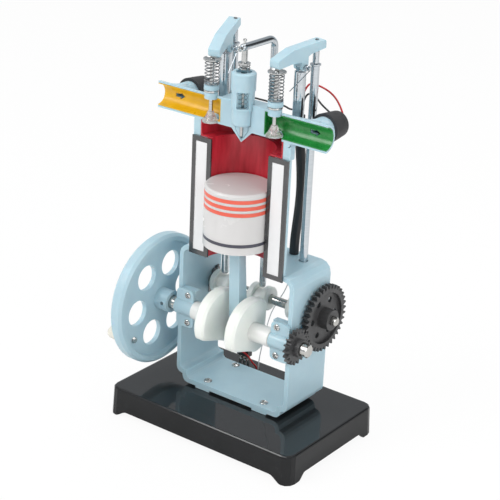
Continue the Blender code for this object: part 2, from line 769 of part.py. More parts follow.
def make_cylinder():
    """The half shell, its flat wings on the cut plane, and the flange that carries the head."""
    low = DECK + FRAME_TOP + TOUCH
    high = DECK + CYLINDER_TOP
    inner = BORE_RADIUS + LINER_WALL + TOUCH
    flange = CHAMBER_RADIUS + LINER_WALL + TOUCH + CHAMBER_WALL
    profile = [(inner, low), (CYLINDER_RADIUS, low), (CYLINDER_RADIUS, high - TOP_FLANGE),
               (flange, high - TOP_FLANGE), (flange, high), (inner, high)]
    shell = turned("cylinder", "Z", 0, PLANE_Y, profile, FINE, closed=True)
    for side in (-1, 1):
        join(shell, box("wing", sorted((side * (BORE_RADIUS + LINER_WALL + 2 * TOUCH), side * WING_OUTER)),
                        (PLANE_Y - OVERRUN, PLANE_Y + WING_DEPTH), (low, high)))
    cut(shell, rod("bore", "Z", 0, PLANE_Y, inner, low - OVERRUN, high + OVERRUN, FINE))
    cut(shell, injector_rod_hole(low, high))
    cut(shell, front_block(HEAD_RADIUS + OVERRUN, low - OVERRUN, high + OVERRUN))
    return shell


def injector_rod_hole(low, high):
    """The passage for the injector's rod, which stands inside the flange's and the head's outline."""
    return rod("rod_hole", "Z", 0, CAM_Y, BENT_ROD_RADIUS + ROD_HOLE_GAP, low - OVERRUN, high + OVERRUN,
               SMALL, HALF_STEP)


def make_liner():
    """The red lining: the bore, a step out at the cylinder's top, and the wider chamber."""
    low = DECK + FRAME_TOP - FRAME_WALL
    step = DECK + CYLINDER_TOP + TOUCH
    high = DECK + ROOF - TOUCH
    profile = [(BORE_RADIUS, low), (BORE_RADIUS + LINER_WALL - TOUCH, low),
               (BORE_RADIUS + LINER_WALL - TOUCH, step),
               (CHAMBER_RADIUS + LINER_WALL, step), (CHAMBER_RADIUS + LINER_WALL, high),
               (CHAMBER_RADIUS, high), (CHAMBER_RADIUS, step + LINER_WALL),
               (BORE_RADIUS, step + LINER_WALL)]
    liner = turned("cylinder_liner", "Z", 0, PLANE_Y, profile, FINE, closed=True)
    cut(liner, rod("pillar_seat", "Z", 0, CAM_Y, PILLAR_RADIUS + TOUCH, low - OVERRUN, high + OVERRUN,
                   SMALL, HALF_STEP))
    return cut(liner, front_block(HEAD_RADIUS, low - OVERRUN, high + OVERRUN))


def make_section_panel(name, side):
    """The bordered plate on a wing that shows the cut wall, with its middle sunk."""
    back = PLANE_Y - TOUCH
    front = back - PANEL_THICKNESS
    spans = sorted((side * WING_INNER, side * WING_OUTER))
    low = DECK + FRAME_TOP - PANEL_DROP
    high = DECK + CYLINDER_TOP
    panel = box(name, spans, (front, back), (low, high))
    middle = (spans[0] + PANEL_BORDER, spans[1] - PANEL_BORDER)
    sink = box("sink", middle, (front - OVERRUN, front + PANEL_SINK),
               (low + PANEL_BORDER, high - PANEL_BORDER))
    return cut(panel, sink)


def port_axis_z():
    return DECK + PORT_RISE


def port_end(side):
    return INTAKE_PORT_END if side < 0 else EXHAUST_PORT_END


def stub_x(side):
    return -INTAKE_STUB_X if side < 0 else EXHAUST_STUB_X


def make_head():
    """The head: chamber walls, roof, the block between the half-pipe ports, and the lamp stubs."""
    low = DECK + CYLINDER_TOP + TOUCH
    roof = DECK + ROOF
    inner = CHAMBER_RADIUS + LINER_WALL + TOUCH
    skirt = turned("cylinder_head", "Z", 0, PLANE_Y,
                   [(inner, low), (inner + CHAMBER_WALL, low),
                    (inner + CHAMBER_WALL, roof + ROOF_THICKNESS),
                    (0, roof + ROOF_THICKNESS), (0, roof), (inner, roof)], FINE, closed=True)
    head = join(skirt, rod("pillar", "Z", 0, CAM_Y, PILLAR_RADIUS, low, roof + ROOF_THICKNESS / 2,
                          SMALL, HALF_STEP))
    cut(head, injector_rod_hole(low, roof + ROOF_THICKNESS))
    for side in (-1, 1):
        join(head, box("cheek", sorted((side * inner, side * HEAD_RADIUS)),
                       (PLANE_Y - OVERRUN, PLANE_Y + CHEEK_DEPTH), (low, roof + ROOF_THICKNESS)))
    join(head, box("block", (-BLOCK_HALF, BLOCK_HALF), (PLANE_Y - OVERRUN, PLANE_Y + BLOCK_DEPTH),
                   (roof + ROOF_THICKNESS / 2, DECK + BLOCK_TOP)))
    join(head, rod("ports", "X", PLANE_Y, port_axis_z(), PORT_RADIUS, -INTAKE_PORT_END, EXHAUST_PORT_END))
    for side in (-1, 1):
        join(head, rod("stub", "Y", stub_x(side), port_axis_z(), STUB_RADIUS, PLANE_Y, STUB_END))
        join(head, rod("deck", "Z", side * PIVOT_X, PIVOT_Y, POST_RADIUS + BASE_WALL,
                       roof, roof + 2 * ROOF_THICKNESS, SMALL))
    nose = turned("nose", "Z", 0, PLANE_Y,
                  [(0, DECK + NOSE_TIP), (NOSE_RADIUS, roof + TOUCH),
                   (NOSE_RADIUS, roof + ROOF_THICKNESS / 2),
                   (0, roof + ROOF_THICKNESS / 2)], ROUND)
    join(head, nose)
    for side in (-1, 1):
        start, end = sorted((side * PORT_START, side * (port_end(side) + OVERRUN)))
        cut(head, rod("port", "X", PLANE_Y, port_axis_z(), PORT_RADIUS - PORT_WALL, start, end))
        cut(head, rod("lamp", "Y", stub_x(side), port_axis_z(), STUB_RADIUS - STUB_WALL,
                      PLANE_Y + PORT_RADIUS + PORT_WALL, STUB_END + OVERRUN))
        cut(head, arrow_tool(side))
        cut(head, rod("seat", "Z", side * VALVE_X, PLANE_Y, SEAT_RADIUS, roof - OVERRUN, port_axis_z(),
                      SMALL))
        cut(head, rod("guide_seat", "Z", side * VALVE_X, PLANE_Y, GUIDE_RADIUS + TOUCH, port_axis_z(),
                      DECK + GUIDE_TOP, SMALL))
    ledge = DECK + WINDOW_BOTTOM - WINDOW_LEDGE - TOUCH
    cut(head, rod("foot_seat", "Z", 0, PLANE_Y, INJECTOR_FOOT + TOUCH,
                  DECK + INJECTOR_BOTTOM - TOUCH, ledge))
    cut(head, rod("waist_seat", "Z", 0, PLANE_Y, INJECTOR_WAIST + TOUCH, ledge, DECK + GUIDE_TOP))
    wide = NOZZLE_RADIUS + TOUCH
    cut(head, turned("cone", "Z", 0, PLANE_Y, [(0, DECK + NOZZLE_TIP - 3 * TOUCH), (wide, roof),
                                               (wide, DECK + INJECTOR_BOTTOM),
                                               (0, DECK + INJECTOR_BOTTOM)], ROUND))
    cut(head, front_block(INTAKE_PORT_END + OVERRUN, low - OVERRUN, DECK + GUIDE_TOP))
    return head


def arrow_outline(side, grow):
    """The arrow-shaped window, pointing to +X, in the plane X, Z."""
    centre = stub_x(side)
    z = port_axis_z()
    tail = -ARROW_LENGTH / 2 - grow
    tip = ARROW_LENGTH / 2 + grow
    barb = tip - ARROW_LENGTH * ARROW_HEAD_SHARE - grow
    half_tail = ARROW_TAIL / 2 + grow
    half_head = ARROW_HEIGHT / 2 + grow
    shape = [(tail, -half_tail), (barb, -half_tail), (barb, -half_head), (tip, 0),
             (barb, half_head), (barb, half_tail), (tail, half_tail)]
    return [(centre + u, z + v) for u, v in shape]


def arrow_tool(side):
    return prism("arrow", "Y", arrow_outline(side, 0), PLANE_Y, PLANE_Y + PORT_RADIUS + 2 * PORT_WALL)


def make_port_lining(name, side):
    """The coloured half-pipe lining of a port, with the arrow window and the valve's passage."""
    outer = PORT_RADIUS - PORT_WALL - TOUCH
    start, end = sorted((side * (PORT_START + TOUCH), side * port_end(side)))
    lining = rod(name, "X", PLANE_Y, port_axis_z(), outer, start, end)
    bore = sorted((side * (PORT_START + TOUCH + PORT_LINING), side * (port_end(side) + OVERRUN)))
    cut(lining, rod("bore", "X", PLANE_Y, port_axis_z(), outer - PORT_LINING, *bore))
    cut(lining, prism("arrow", "Y", arrow_outline(side, 0), PLANE_Y, PLANE_Y + PORT_RADIUS + PORT_WALL))
    cut(lining, rod("seat", "Z", side * VALVE_X, PLANE_Y, SEAT_RADIUS, DECK + ROOF, port_axis_z(), SMALL))
    cut(lining, rod("guide_seat", "Z", side * VALVE_X, PLANE_Y, GUIDE_RADIUS + TOUCH, port_axis_z(),
                    DECK + GUIDE_TOP, SMALL))
    return cut(lining, front_block(INTAKE_PORT_END + OVERRUN, DECK + ROOF, DECK + GUIDE_TOP))


def make_valve_guide(name, side):
    """The guide collar: a flange that carries the spring, a groove for its clip, and the stem's bore."""
    low = DECK + GUIDE_BOTTOM
    high = DECK + GUIDE_TOP
    neck = high - GUIDE_FLANGE_HEIGHT
    bore = STEM_RADIUS + RUNNING
    profile = [(bore, low), (GUIDE_RADIUS, low), (GUIDE_RADIUS, neck - GUIDE_GROOVE_HEIGHT),
               (GUIDE_RADIUS - GUIDE_GROOVE, neck - GUIDE_GROOVE_HEIGHT),
               (GUIDE_RADIUS - GUIDE_GROOVE, neck),
               (GUIDE_FLANGE, neck), (GUIDE_FLANGE, high), (bore, high)]
    return turned(name, "Z", side * VALVE_X, PLANE_Y, profile, SMALL, closed=True)


def make_valve_head(name, side, drop):
    """The clear cone and rim of a valve, standing lower by its opening."""
    flat = DECK + ROOF + VALVE_SINK - drop
    top = flat + VALVE_RIM + VALVE_CONE
    neck = STEM_RADIUS + VALVE_RIM
    bore = STEM_RADIUS + TOUCH
    profile = [(0, flat - VALVE_DOME), (VALVE_HEAD * 0.6, flat - VALVE_DOME * 0.7), (VALVE_HEAD, flat),
               (VALVE_HEAD, flat + VALVE_RIM),
               (VALVE_HEAD * 0.62, flat + VALVE_RIM + VALVE_CONE * 0.42), (neck, top),
               (bore, top), (bore, flat + VALVE_RIM), (0, flat + VALVE_RIM)]
    return turned(name, "Z", side * VALVE_X, PLANE_Y, profile, SMALL)


def make_valve_stem(name, side, drop):
    """The steel stem with its dished spring retainer."""
    low = DECK + ROOF + VALVE_SINK + VALVE_RIM + TOUCH - drop
    dish = DECK + RETAINER_BOTTOM - drop
    top = DECK + STEM_TOP - drop
    dish_top = dish + RETAINER_HEIGHT
    profile = [(0, low), (STEM_RADIUS, low), (STEM_RADIUS, dish), (RETAINER_RADIUS * 0.72, dish),
               (RETAINER_RADIUS, dish + RETAINER_HEIGHT * 0.6), (RETAINER_RADIUS, dish_top),
               (RETAINER_RADIUS * 0.62, dish + RETAINER_HEIGHT * 0.5),
               (STEM_RADIUS, dish + RETAINER_HEIGHT * 0.5),
               (STEM_RADIUS, top), (0, top)]
    return turned(name, "Z", side * VALVE_X, PLANE_Y, profile, SMALL)


def make_valve_spring(name, side, drop):
    return spring(name, (side * VALVE_X, PLANE_Y), SPRING_RADIUS, DECK + GUIDE_TOP,
                  DECK + RETAINER_BOTTOM - drop, SPRING_CURLS, SPRING_WIRE)


def rocker_outline():
    """The bent arm seen from its side: nose at the valve, knee, and tail over the pushrod."""
    corners = [(-NOSE_REACH, NOSE_BOTTOM, 1.5 * ROCKER_EDGE), (-KNEE_REACH, KNEE_BOTTOM, 3 * ROCKER_EDGE),
               (-LUG_HALF, KNEE_BOTTOM, 0),
               (TAIL_KNEE, TAIL_KNEE_BOTTOM, 2 * ROCKER_EDGE), (TAIL_REACH, TAIL_BOTTOM, ROCKER_EDGE),
               (TAIL_REACH, TAIL_TOP, 2 * ROCKER_EDGE), (-KNEE_REACH, KNEE_TOP, 6 * ROCKER_EDGE),
               (-NOSE_REACH, NOSE_TOP, 2 * ROCKER_EDGE)]
    return filleted(corners)


def make_rocker(name, axis):
    """A rocker arm in its pivot's own frame: Y along the arm to the pushrod, X along the pin."""
    outline = rocker_outline()
    body = prism(name, "X", outline, -ROCKER_WIDTH / 2, ROCKER_WIDTH / 2)
    round_end = [math.pi + math.pi * k / 8 for k in range(9)]
    lug = [(LUG_HALF * math.cos(angle), LUG_HALF * math.sin(angle)) for angle in round_end]
    lug += [(LUG_HALF, TAIL_KNEE_BOTTOM + ROCKER_EDGE), (-LUG_HALF, TAIL_KNEE_BOTTOM + ROCKER_EDGE)]
    join(body, prism("lug", "X", lug, -ROCKER_WIDTH / 2, ROCKER_WIDTH / 2))
    room = TONGUE_RADIUS + RUNNING
    slot = [(room * math.cos(k * math.pi / 6), room * math.sin(k * math.pi / 6)) for k in range(7)]
    slot += [(-room, -LUG_HALF - OVERRUN), (room, -LUG_HALF - OVERRUN)]
    cut(body, prism("slot", "X", slot, -LUG_SLOT, LUG_SLOT))
    cut(body, rod("pin_hole", "X", 0, 0, PIN_RADIUS_SMALL + RUNNING, -ROCKER_WIDTH, ROCKER_WIDTH, TINY))
    body.matrix_basis = axis.matrix_basis
    return body


def arm_turn(side):
    """The arm's turn in plan; the intake arm stands a little askew on its post."""
    return -side * ARM_ANGLE + (INTAKE_SLACK if side < 0 else 0)


def make_post(name, side):
    """The chrome post: a tongue between the rocker's cheeks, its pin, and a wire spring on the pin's end."""
    x = side * PIVOT_X
    low = DECK + ROOF + 2 * ROOF_THICKNESS + TOUCH
    post = rod(name, "Z", x, PIVOT_Y, POST_RADIUS, low, DECK + PIVOT_RISE - POST_DROP, SMALL)
    round_top = [(TONGUE_RADIUS * math.cos(k * math.pi / 6), TONGUE_RADIUS * math.sin(k * math.pi / 6))
                 for k in range(7)]
    outline = round_top + [(-TONGUE_RADIUS, -POST_DROP - OVERRUN), (TONGUE_RADIUS, -POST_DROP - OVERRUN)]
    tongue = prism("tongue", "X", outline, -TONGUE_HALF, TONGUE_HALF)
    coil_start = ROCKER_WIDTH / 2 + TORSION_PITCH
    pin_end = coil_start + TORSION_PITCH * (TORSION_CURLS + 1)
    pin = rod("pin", "X", 0, 0, PIN_RADIUS_SMALL, -ROCKER_WIDTH / 2 - TORSION_PITCH, pin_end, TINY)
    coil = torsion_spring(coil_start)
    spot = Matrix.Translation((x, PIVOT_Y, DECK + PIVOT_RISE)) @ Matrix.Rotation(arm_turn(side), 4, "Z")
    for tool in (tongue, pin, coil):
        tool.matrix_basis = spot
    return join(post, tongue, pin, coil)


def torsion_spring(start):
    """A wire wound round the pin from its fixed end, with a leg that leans to the valve side."""
    count = round(TORSION_CURLS * CURL_POINTS)
    points = [Vector((start, 0, PIN_RADIUS_SMALL / 2))]
    for k in range(count + 1):
        turns = TORSION_CURLS * k / count
        angle = 2 * math.pi * turns
        points.append(Vector((start + TORSION_PITCH * turns, TORSION_COIL * math.sin(angle),
                              TORSION_COIL * math.cos(angle))))
    least_gap("rocker spring", points[1:], TORSION_WIRE, 6)
    last = points[-1]
    for share in (0.5, 1):
        points.append(last + Vector((0, -TORSION_LEG, -TORSION_LEG * TORSION_SLOPE)) * share)
    return tube("coil", points, TORSION_WIRE, 1)


def make_pushrod(name, side, raised):
    """A pushrod from its cam to the rocker's tail, thinner above its collar."""
    low = FOLLOWER_Z + raised
    tilt = raised / PUSHROD_REACH
    top = DECK + PIVOT_RISE + tail_height() + raised - TOUCH - tilt * PUSHROD_TIP
    neck = top - PUSHROD_TIP_LENGTH
    profile = [(0, low), (PUSHROD_RADIUS * 0.7, low), (PUSHROD_RADIUS, low + TOUCH * 4),
               (PUSHROD_RADIUS, neck - COLLAR_HEIGHT),
               (COLLAR_RADIUS, neck - COLLAR_HEIGHT * 0.75), (COLLAR_RADIUS, neck - COLLAR_HEIGHT * 0.25),
               (PUSHROD_TIP, neck), (PUSHROD_TIP, top - PUSHROD_TIP * 0.5), (PUSHROD_TIP * 0.5, top),
               (0, top)]
    return turned(name, "Z", side * PUSHROD_X, CAM_Y, profile, SMALL)


def tail_height():
    """The tail's underside above the pivot, where the pushrod meets it."""
    share = (PUSHROD_REACH - TAIL_KNEE) / (TAIL_REACH - TAIL_KNEE)
    return TAIL_KNEE_BOTTOM + share * (TAIL_BOTTOM - TAIL_KNEE_BOTTOM)


def make_injector_body():
    """The injector: a full round body, stepped down below its head, with a window on its spring."""
    low = DECK + INJECTOR_BOTTOM
    high = DECK + INJECTOR_TOP
    window_low = DECK + WINDOW_BOTTOM
    window_high = DECK + WINDOW_TOP
    edge = ROCKER_EDGE
    needle = NEEDLE_RADIUS + RUNNING
    neck = INJECTOR_STEM + RUNNING
    ledge = window_low - WINDOW_LEDGE
    profile = [(needle, low), (INJECTOR_FOOT - edge, low), (INJECTOR_FOOT, low + edge),
               (INJECTOR_FOOT, ledge),
               (INJECTOR_WAIST, ledge), (INJECTOR_WAIST, window_high), (INJECTOR_RADIUS, window_high),
               (INJECTOR_RADIUS, high - edge), (INJECTOR_RADIUS - edge, high), (INJECTOR_CUP, high),
               (INJECTOR_CUP, high - INJECTOR_CUP_DEPTH), (neck, high - INJECTOR_CUP_DEPTH),
               (neck, high - INJECTOR_CEILING), (INJECTOR_BORE, high - INJECTOR_CEILING),
               (INJECTOR_BORE, low + INJECTOR_FLOOR), (needle, low + INJECTOR_FLOOR)]
    body = turned("injector_body", "Z", 0, PLANE_Y, profile, ROUND, closed=True)
    window = box("window", (-WINDOW_WIDTH / 2, WINDOW_WIDTH / 2), (-INJECTOR_RADIUS - OVERRUN, -TOUCH),
                 (window_low + TOUCH, window_high - TOUCH))
    window.matrix_basis = Matrix.Translation((0, PLANE_Y, 0)) @ Matrix.Rotation(WINDOW_TURN, 4, "Z")
    return cut(body, window)


def make_nozzle():
    """The clear half cone round the needle in the head's nose."""
    roof = DECK + ROOF
    high = roof + ROOF_THICKNESS - TOUCH
    bore = NEEDLE_RADIUS + RUNNING
    wide = NOZZLE_RADIUS - TOUCH
    low = DECK + NOZZLE_TIP
    point = low + (roof - low) * bore / wide
    nozzle = turned("injector_nozzle", "Z", 0, PLANE_Y,
                    [(bore, point), (wide, roof), (wide, high), (bore, high)],
                    SMALL, closed=True)
    return cut(nozzle, front_block(2 * NOZZLE_RADIUS, low, high + OVERRUN))


def make_injector_rod():
    """The bent chrome rod, the stem it drives and the needle below, moving as one."""
    foot = FOLLOWER_Z
    top = DECK + BENT_ROD_TOP
    bend = BENT_ROD_BEND
    points = [(0, CAM_Y, foot), (0, CAM_Y, top - bend)]
    for k in range(1, 6):
        angle = math.radians(90 * k / 6)
        points.append((0, CAM_Y - bend * (1 - math.cos(angle)), top - bend * (1 - math.sin(angle))))
    points.append((0, CAM_Y - bend, top))
    points.append((0, PLANE_Y - BENT_ROD_REACH, top))
    bent = tube("injector_rod", points, BENT_ROD_RADIUS, 2)
    collar = DECK + NEEDLE_COLLAR_RISE
    ceiling = DECK + INJECTOR_TOP - INJECTOR_CEILING
    nut = DECK + NUT_RISE
    profile = [(0, DECK + NEEDLE_TIP), (NEEDLE_RADIUS, DECK + NEEDLE_TIP + 2 * NEEDLE_RADIUS),
               (NEEDLE_RADIUS, collar),
               (NEEDLE_COLLAR, collar), (NEEDLE_COLLAR, collar + NEEDLE_COLLAR_HEIGHT),
               (NEEDLE_RADIUS, collar + NEEDLE_COLLAR_HEIGHT), (NEEDLE_RADIUS, ceiling - 2 * OVERRUN),
               (INJECTOR_STEM, ceiling - OVERRUN), (INJECTOR_STEM, nut), (NUT_RADIUS, nut),
               (NUT_RADIUS, nut + NUT_HEIGHT), (INJECTOR_STEM, nut + NUT_HEIGHT), (INJECTOR_STEM, top),
               (0, top)]
    return join(bent, turned("stem", "Z", 0, PLANE_Y, profile, SMALL - 2))


def make_injector_spring():
    return spring("injector_spring", (0, PLANE_Y), INJECTOR_SPRING_RADIUS,
                  DECK + NEEDLE_COLLAR_RISE + NEEDLE_COLLAR_HEIGHT, DECK + INJECTOR_TOP - INJECTOR_CEILING,
                  INJECTOR_SPRING_CURLS, INJECTOR_SPRING_WIRE)


def make_lamp_cap(name, side):
    """The tapered rubber cap pushed over a stub, with a hole for its wires."""
    front = CAP_FRONT
    back = CAP_BACK
    bore = STUB_RADIUS + TOUCH
    inside = STUB_END + TOUCH
    wire_hole = 3 * WIRE_RADIUS + TOUCH
    profile = [(bore, front), (CAP_FRONT_RADIUS, front), (CAP_BACK_RADIUS, back - CAP_WALL / 2),
               (CAP_BACK_RADIUS - CAP_WALL / 2, back), (wire_hole, back), (wire_hole, back - CAP_WALL),
               (CAP_BACK_RADIUS - CAP_WALL, back - CAP_WALL), (CAP_BACK_RADIUS - CAP_WALL, inside),
               (bore, inside)]
    return turned(name, "Y", stub_x(side), port_axis_z(), profile, SMALL, closed=True)


def make_bulb(name, side):
    """The lamp behind an arrow window: its base seated in the cap's end, its round glass to the front."""
    back = CAP_BACK - CAP_WALL - TOUCH
    neck = back - BULB_BASE_LENGTH
    middle = neck - BULB_LENGTH / 2
    profile = [(0, back), (BULB_NECK, back), (BULB_NECK, neck)]
    for k in range(5):
        angle = math.radians(18 * k)
        profile.append((BULB_RADIUS * math.cos(angle), middle - BULB_LENGTH / 2 * math.sin(angle)))
    profile.append((0, middle - BULB_LENGTH / 2))
    return turned(name, "Y", stub_x(side), port_axis_z(), profile, TINY)


def web_outline():
    """The counterweight sector opposite the pin, drawn in to the lobe round the pin."""
    heavy = CRANK_ANGLE + math.pi
    points = []
    for k in range(SMALL + 1):
        angle = heavy - WEB_SECTOR + 2 * WEB_SECTOR * k / SMALL
        points.append((WEB_RADIUS * math.cos(angle), WEB_RADIUS * math.sin(angle)))
    pin = (THROW * math.cos(CRANK_ANGLE), THROW * math.sin(CRANK_ANGLE))
    for k in range(TINY + 1):
        angle = CRANK_ANGLE - WEB_SECTOR + 2 * WEB_SECTOR * k / TINY
        points.append((pin[0] + WEB_LOBE * math.cos(angle), pin[1] + WEB_LOBE * math.sin(angle)))
    return points


def make_web(name, side):
    """A crank web with its hub on the bearing side; the left one carries the pin, the right one takes it."""
    inner = side * WEB_INNER
    outer = side * (WEB_INNER + WEB_THICKNESS)
    outline = [(PLANE_Y + y, CRANK_Z + z) for y, z in web_outline()]
    web = prism(name, "X", outline, *sorted((inner, outer)))
    bevel = web.modifiers.new("bevel", "BEVEL")
    bevel.width = WEB_EDGE
    bevel.segments = 1
    bevel.limit_method = "ANGLE"
    bevel.angle_limit = math.radians(50)
    bpy.context.view_layer.update()
    graph = bpy.context.evaluated_depsgraph_get()
    web.data = bpy.data.meshes.new_from_object(web.evaluated_get(graph))
    web.modifiers.clear()
    hub_end = side * (BEARING_INNER - TOUCH)
    middle = side * (WEB_INNER + WEB_THICKNESS / 2)
    join(web, rod("hub", "X", PLANE_Y, CRANK_Z, HUB_RADIUS, *sorted((middle, hub_end))))
    shaft_end = side * (WEB_INNER + WEB_EDGE)
    cut(web, rod("shaft_hole", "X", PLANE_Y, CRANK_Z, SHAFT_RADIUS + TOUCH,
                 *sorted((shaft_end, hub_end + side * OVERRUN))))
    pin_end = WEB_INNER + WEB_THICKNESS - WEB_EDGE - TOUCH
    if side < 0:
        return join(web, rod("crank_pin", "X", PIN_Y, PIN_Z, PIN_RADIUS, outer + WEB_EDGE, pin_end))
    return cut(web, rod("pin_hole", "X", PIN_Y, PIN_Z, PIN_RADIUS + TOUCH, inner - OVERRUN,
                        pin_end + TOUCH))


def make_journal(name, side, end):
    """A steel journal pressed into its web and run out through the bearing."""
    start = WEB_INNER + WEB_EDGE + TOUCH
    profile = [(0, side * start), (SHAFT_RADIUS, side * start),
               (SHAFT_RADIUS, side * (end - SHAFT_CHAMFER)),
               (SHAFT_RADIUS - SHAFT_CHAMFER, side * end), (0, side * end)]
    return turned(name, "X", PLANE_Y, CRANK_Z, profile, ROUND)


def gear_outline(y, z, teeth, start):
    """Trapezium teeth with slightly rounded flanks, from the root circle to the tips."""
    pitch = GEAR_MODULE * teeth / 2
    root = pitch - 1.25 * GEAR_MODULE
    tip = pitch + 0.95 * GEAR_MODULE
    step = 2 * math.pi / teeth
    half_shares = ((root, 0.35), (tip, 0.11))
    points = []
    for k in range(teeth):
        middle = start + k * step
        left = [(radius, middle - share * step) for radius, share in half_shares]
        right = [(radius, middle + share * step) for radius, share in reversed(half_shares)]
        points += [(y + radius * math.cos(angle), z + radius * math.sin(angle))
                   for radius, angle in left + right]
    return points


def gear_phases():
    """Start angles that put a crank tooth on the line of centres and a cam space against it."""
    line = math.atan2(CAM_Z - CRANK_Z, CAM_BACK)
    return line, line + math.pi + math.pi / CAM_TEETH


def make_crank_gear():
    crank_start, _ = gear_phases()
    gear = prism("crank_gear", "X", gear_outline(PLANE_Y, CRANK_Z, CRANK_TEETH, crank_start),
                 GEAR_INNER + 2 * TOUCH, GEAR_INNER + GEAR_WIDTH)
    join(gear, rod("hub", "X", PLANE_Y, CRANK_Z, CRANK_GEAR_HUB, GEAR_INNER + GEAR_WIDTH / 2,
                   CRANK_GEAR_HUB_END))
    bore = rod("bore", "X", PLANE_Y, CRANK_Z, SHAFT_RADIUS + TOUCH, GEAR_INNER - OVERRUN,
               CRANK_GEAR_HUB_END + OVERRUN)
    return cut(gear, bore)


def make_cam_gear():
    _, cam_start = gear_phases()
    gear = prism("cam_gear", "X", gear_outline(CAM_Y, CAM_Z, CAM_TEETH, cam_start), GEAR_INNER,
                 GEAR_INNER + GEAR_WIDTH)
    dish = (GEAR_INNER + CAM_GEAR_WEB, GEAR_INNER + GEAR_WIDTH + OVERRUN)
    cut(gear, rod("dish", "X", CAM_Y, CAM_Z, CAM_GEAR_RIM, *dish))
    join(gear, rod("hub", "X", CAM_Y, CAM_Z, CAM_GEAR_HUB, GEAR_INNER + CAM_GEAR_WEB / 2, CAM_GEAR_HUB_END))
    span = (GEAR_INNER - OVERRUN, CAM_GEAR_HUB_END + OVERRUN)
    cut(gear, rod("bore", "X", CAM_Y, CAM_Z, CAMSHAFT_RADIUS + TOUCH, *span, SMALL))
    for k in range(6):
        angle = k * math.pi / 3
        cut(gear, rod("hole", "X", CAM_Y + CAM_GEAR_HOLE_CIRCLE * math.cos(angle),
                      CAM_Z + CAM_GEAR_HOLE_CIRCLE * math.sin(angle), CAM_GEAR_HOLE, *span, TINY))
    return gear


def make_flywheel():
    """The wheel: rim, a thin web with six holes, and a long hub toward the engine."""
    inner = -FLYWHEEL_INNER
    outer = -FLYWHEEL_INNER - FLYWHEEL_WIDTH
    web_front = inner - (FLYWHEEL_WIDTH - FLYWHEEL_WEB) / 2
    web_back = web_front - FLYWHEEL_WEB
    rim_bore = FLYWHEEL_RADIUS - FLYWHEEL_RIM
    edge = FLYWHEEL_EDGE
    bore = SHAFT_RADIUS + TOUCH
    hub_end = -FLYWHEEL_HUB_END
    hub_back = -SHAFT_LEFT_END
    profile = [(bore, hub_end), (FLYWHEEL_HUB, hub_end), (FLYWHEEL_HUB, web_front), (rim_bore, web_front),
               (rim_bore + edge / 2, inner), (FLYWHEEL_RADIUS - edge, inner),
               (FLYWHEEL_RADIUS, inner - edge),
               (FLYWHEEL_RADIUS, outer + edge), (FLYWHEEL_RADIUS - edge, outer),
               (rim_bore + edge / 2, outer),
               (rim_bore, web_back), (FLYWHEEL_HUB, web_back), (FLYWHEEL_HUB, hub_back), (bore, hub_back)]
    wheel = turned("flywheel", "X", PLANE_Y, CRANK_Z, profile, FINE, closed=True)
    for k in range(6):
        angle = FLYWHEEL_HOLE_START + k * math.pi / 3
        y = PLANE_Y + FLYWHEEL_HOLE_CIRCLE * math.cos(angle)
        z = CRANK_Z + FLYWHEEL_HOLE_CIRCLE * math.sin(angle)
        cut(wheel, rod("hole", "X", y, z, FLYWHEEL_HOLE, outer, inner))
    cut(wheel, rod("handle_hole", "X", HANDLE_Y, HANDLE_Z, HANDLE_SCREW_RADIUS + TOUCH, outer, inner, TINY))
    set_x = (inner + hub_end) / 2
    cut(wheel, rod("set_hole", "Y", set_x, CRANK_Z, SET_SCREW_RADIUS, PLANE_Y - FLYWHEEL_HUB - OVERRUN,
                   PLANE_Y - SHAFT_RADIUS, TINY))
    return wheel


def make_handle_screw():
    """The screw that the handle turns on, with its head on the wheel's inner face."""
    inner = -FLYWHEEL_INNER
    seat = inner - (FLYWHEEL_WIDTH - FLYWHEEL_WEB) / 2 + TOUCH
    end = inner - FLYWHEEL_WIDTH - HANDLE_LENGTH / 2
    profile = [(0, end), (HANDLE_SCREW_RADIUS, end), (HANDLE_SCREW_RADIUS, seat), (HANDLE_SCREW_HEAD, seat),
               (HANDLE_SCREW_HEAD * 0.7, seat + SCREW_HEAD_HEIGHT), (0, seat + SCREW_HEAD_HEIGHT)]
    return turned("handle_screw", "X", HANDLE_Y, HANDLE_Z, profile, TINY)


def make_handle():
    """The turned knob that spins on its screw."""
    inner = -FLYWHEEL_INNER
    start = inner - (FLYWHEEL_WIDTH + FLYWHEEL_WEB) / 2 - TOUCH
    end = inner - FLYWHEEL_WIDTH - HANDLE_LENGTH
    length = start - end
    bore = HANDLE_SCREW_RADIUS + RUNNING
    profile = [(bore, start), (HANDLE_NECK, start), (HANDLE_NECK, start - length * 0.25),
               (HANDLE_RADIUS * 0.92, start - length * 0.45), (HANDLE_RADIUS, start - length * 0.7),
               (HANDLE_RADIUS * 0.85, start - length * 0.92), (HANDLE_RADIUS * 0.5, end), (0, end),
               (0, start - length * 0.75), (bore, start - length * 0.75)]
    return turned("handle_knob", "X", HANDLE_Y, HANDLE_Z, profile, SMALL, closed=True)


def make_camshaft():
    """The steel camshaft; its right end is turned down to a stub past the gear."""
    left = -FRAME_WIDTH / 2 - TOUCH
    right = CAMSHAFT_RIGHT_END
    profile = [(0, left), (CAMSHAFT_RADIUS, left), (CAMSHAFT_RADIUS, right - SHAFT_CHAMFER),
               (CAMSHAFT_RADIUS - SHAFT_CHAMFER, right), (0, right)]
    return turned("camshaft", "X", CAM_Y, CAM_Z, profile, SMALL)


